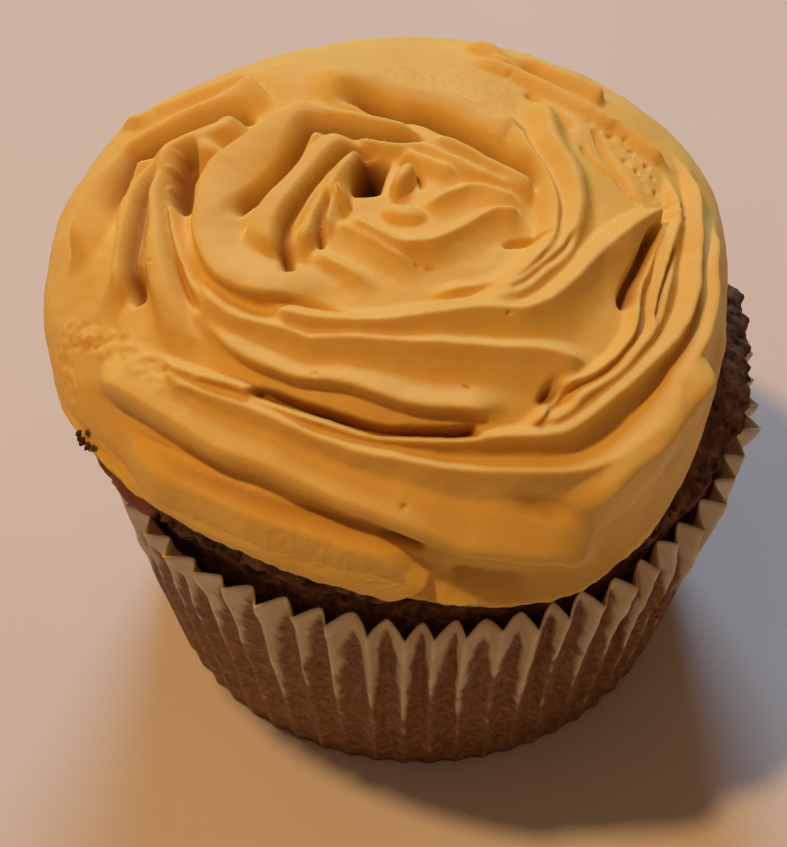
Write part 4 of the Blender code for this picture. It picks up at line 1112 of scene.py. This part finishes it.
def makeCrumbs(layout):
    # torn bits of sponge that stick to the lower edge of the buttercream
    chance = random.Random(crumbs["seed"])
    places = placeTraced([pixel for pixel, size in crumbs["traced"]], crumbs["level"])
    bits = []
    for number, (pixel, size) in enumerate(crumbs["traced"]):
        startClean()
        bpy.ops.mesh.primitive_ico_sphere_add(subdivisions=3, radius=0.5 * size * mm)
        bit = bpy.context.object
        shape = corners(bit)
        squeeze = np.array([chance.uniform(*crumbs["squeeze"]) for axis in range(3)])
        (coarse, high), (fine, low) = crumbs["grains"]
        rough = 1 + high * grain(shape, coarse * size * mm, number)
        rough += low * grain(shape, fine * size * mm, number + 9)
        degrees = places[number:number + 1, 0]
        distance = places[number:number + 1, 1] * mm
        lift = readMap(*layout[:2], flatPlace(degrees, distance))
        centre = np.stack(swirlPoints(degrees, distance, lift), axis=1)
        centre[:, :2] += flatPlace(degrees, crumbs["outShare"] * size * mm)
        centre[:, 2] -= crumbs["downShare"] * size * mm
        moveCorners(bit, shape * squeeze * rough[:, None] + centre)
        bits.append(bit)
    startClean()
    for bit in bits:
        bit.select_set(True)
    bpy.context.view_layer.objects.active = bits[0]
    bpy.ops.object.join()
    bits[0].name = "spongeCrumbs"
    outwards(bits[0])
    bpy.ops.object.shade_smooth()
    return bits[0]


studio = {
    "floorSize": 3.0,
    "aim": (0.0, 0.0, 0.03),
    "floorColours": ("#dcd3ca", "#e3dbd3"),
    "keyPlace": (-0.430, -0.019, 1.120),   # warm lamp, high on the left
    "keyPower": 6.9,
    "keySize": 0.10,
    "keyColour": "#ffc884",
    "fillPlace": (-0.05, 0.90, 0.80),   # cool daylight from behind
    "fillPower": 7.6,
    "fillSize": 0.38,
    "fillColour": "#bbdcff",
    "skyColour": "#ffcba0",
    "skyPower": 0.16,
}


def areaLight(name, stand, power, size, colour):
    data = bpy.data.lights.new(name, "AREA")
    data.shape = "DISK"
    data.energy = power
    data.size = size
    data.color = hexColour(colour)[:3]
    item = bpy.data.objects.new(name, data)
    bpy.context.scene.collection.objects.link(item)
    item.location = stand
    item.rotation_euler = (Vector(studio["aim"]) - Vector(stand)).to_track_quat("-Z", "Y").to_euler()


def makeStudio():
    startClean()
    bpy.ops.mesh.primitive_plane_add(size=studio["floorSize"])
    floor = bpy.context.object
    floor.name = "floor"
    item, tree, shader = newMaterial("paleTable")
    spot = addNode(tree, "ShaderNodeTexCoord").outputs["Object"]
    cloud = addNode(tree, "ShaderNodeTexNoise", {"Scale": 1 / (60 * mm), "Detail": 3.0}, {"Vector": spot})
    tone = addNode(tree, "ShaderNodeValToRGB", links={"Fac": cloud.outputs["Fac"]},
                   stops=[(0.3, studio["floorColours"][0]), (0.7, studio["floorColours"][1])])
    tree.links.new(tone.outputs["Color"], shader.inputs["Base Color"])
    shader.inputs["Roughness"].default_value = 0.8
    floor.data.materials.append(item)
    areaLight("key", studio["keyPlace"], studio["keyPower"], studio["keySize"], studio["keyColour"])
    areaLight("fill", studio["fillPlace"], studio["fillPower"], studio["fillSize"], studio["fillColour"])
    world = bpy.data.worlds.new("studio")
    bpy.context.scene.world = world
    world.use_nodes = True
    sky = world.node_tree.nodes["Background"]
    sky.inputs["Color"].default_value = hexColour(studio["skyColour"])
    sky.inputs["Strength"].default_value = studio["skyPower"]
    bpy.context.scene.view_settings.view_transform = "Standard"


def dress(piece, material, node=None):
    piece.data.materials.clear()
    piece.data.materials.append(material)
    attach(piece, "root")
    if node:
        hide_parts(node)


spongePiece = makeSponge()
crumbFinish = spongeMaterial()
dress(spongePiece, crumbFinish, "cake")
print("sponge made", len(spongePiece.data.polygons))

casePiece = makePaperCase()
dress(casePiece, paperMaterial(), "paper_case")
print("paper case made", len(casePiece.data.polygons))

swirlLayout = reliefMap()
print("relief laid out")
swirlPiece = makeButtercream(swirlLayout)
dress(swirlPiece, buttercreamMaterial(), "buttercream")
print("buttercream made", len(swirlPiece.data.polygons))

crumbPiece = makeCrumbs(swirlLayout)
dress(crumbPiece, crumbFinish)
print("crumbs made", len(crumbPiece.data.polygons))

makeStudio()
print("studio made")
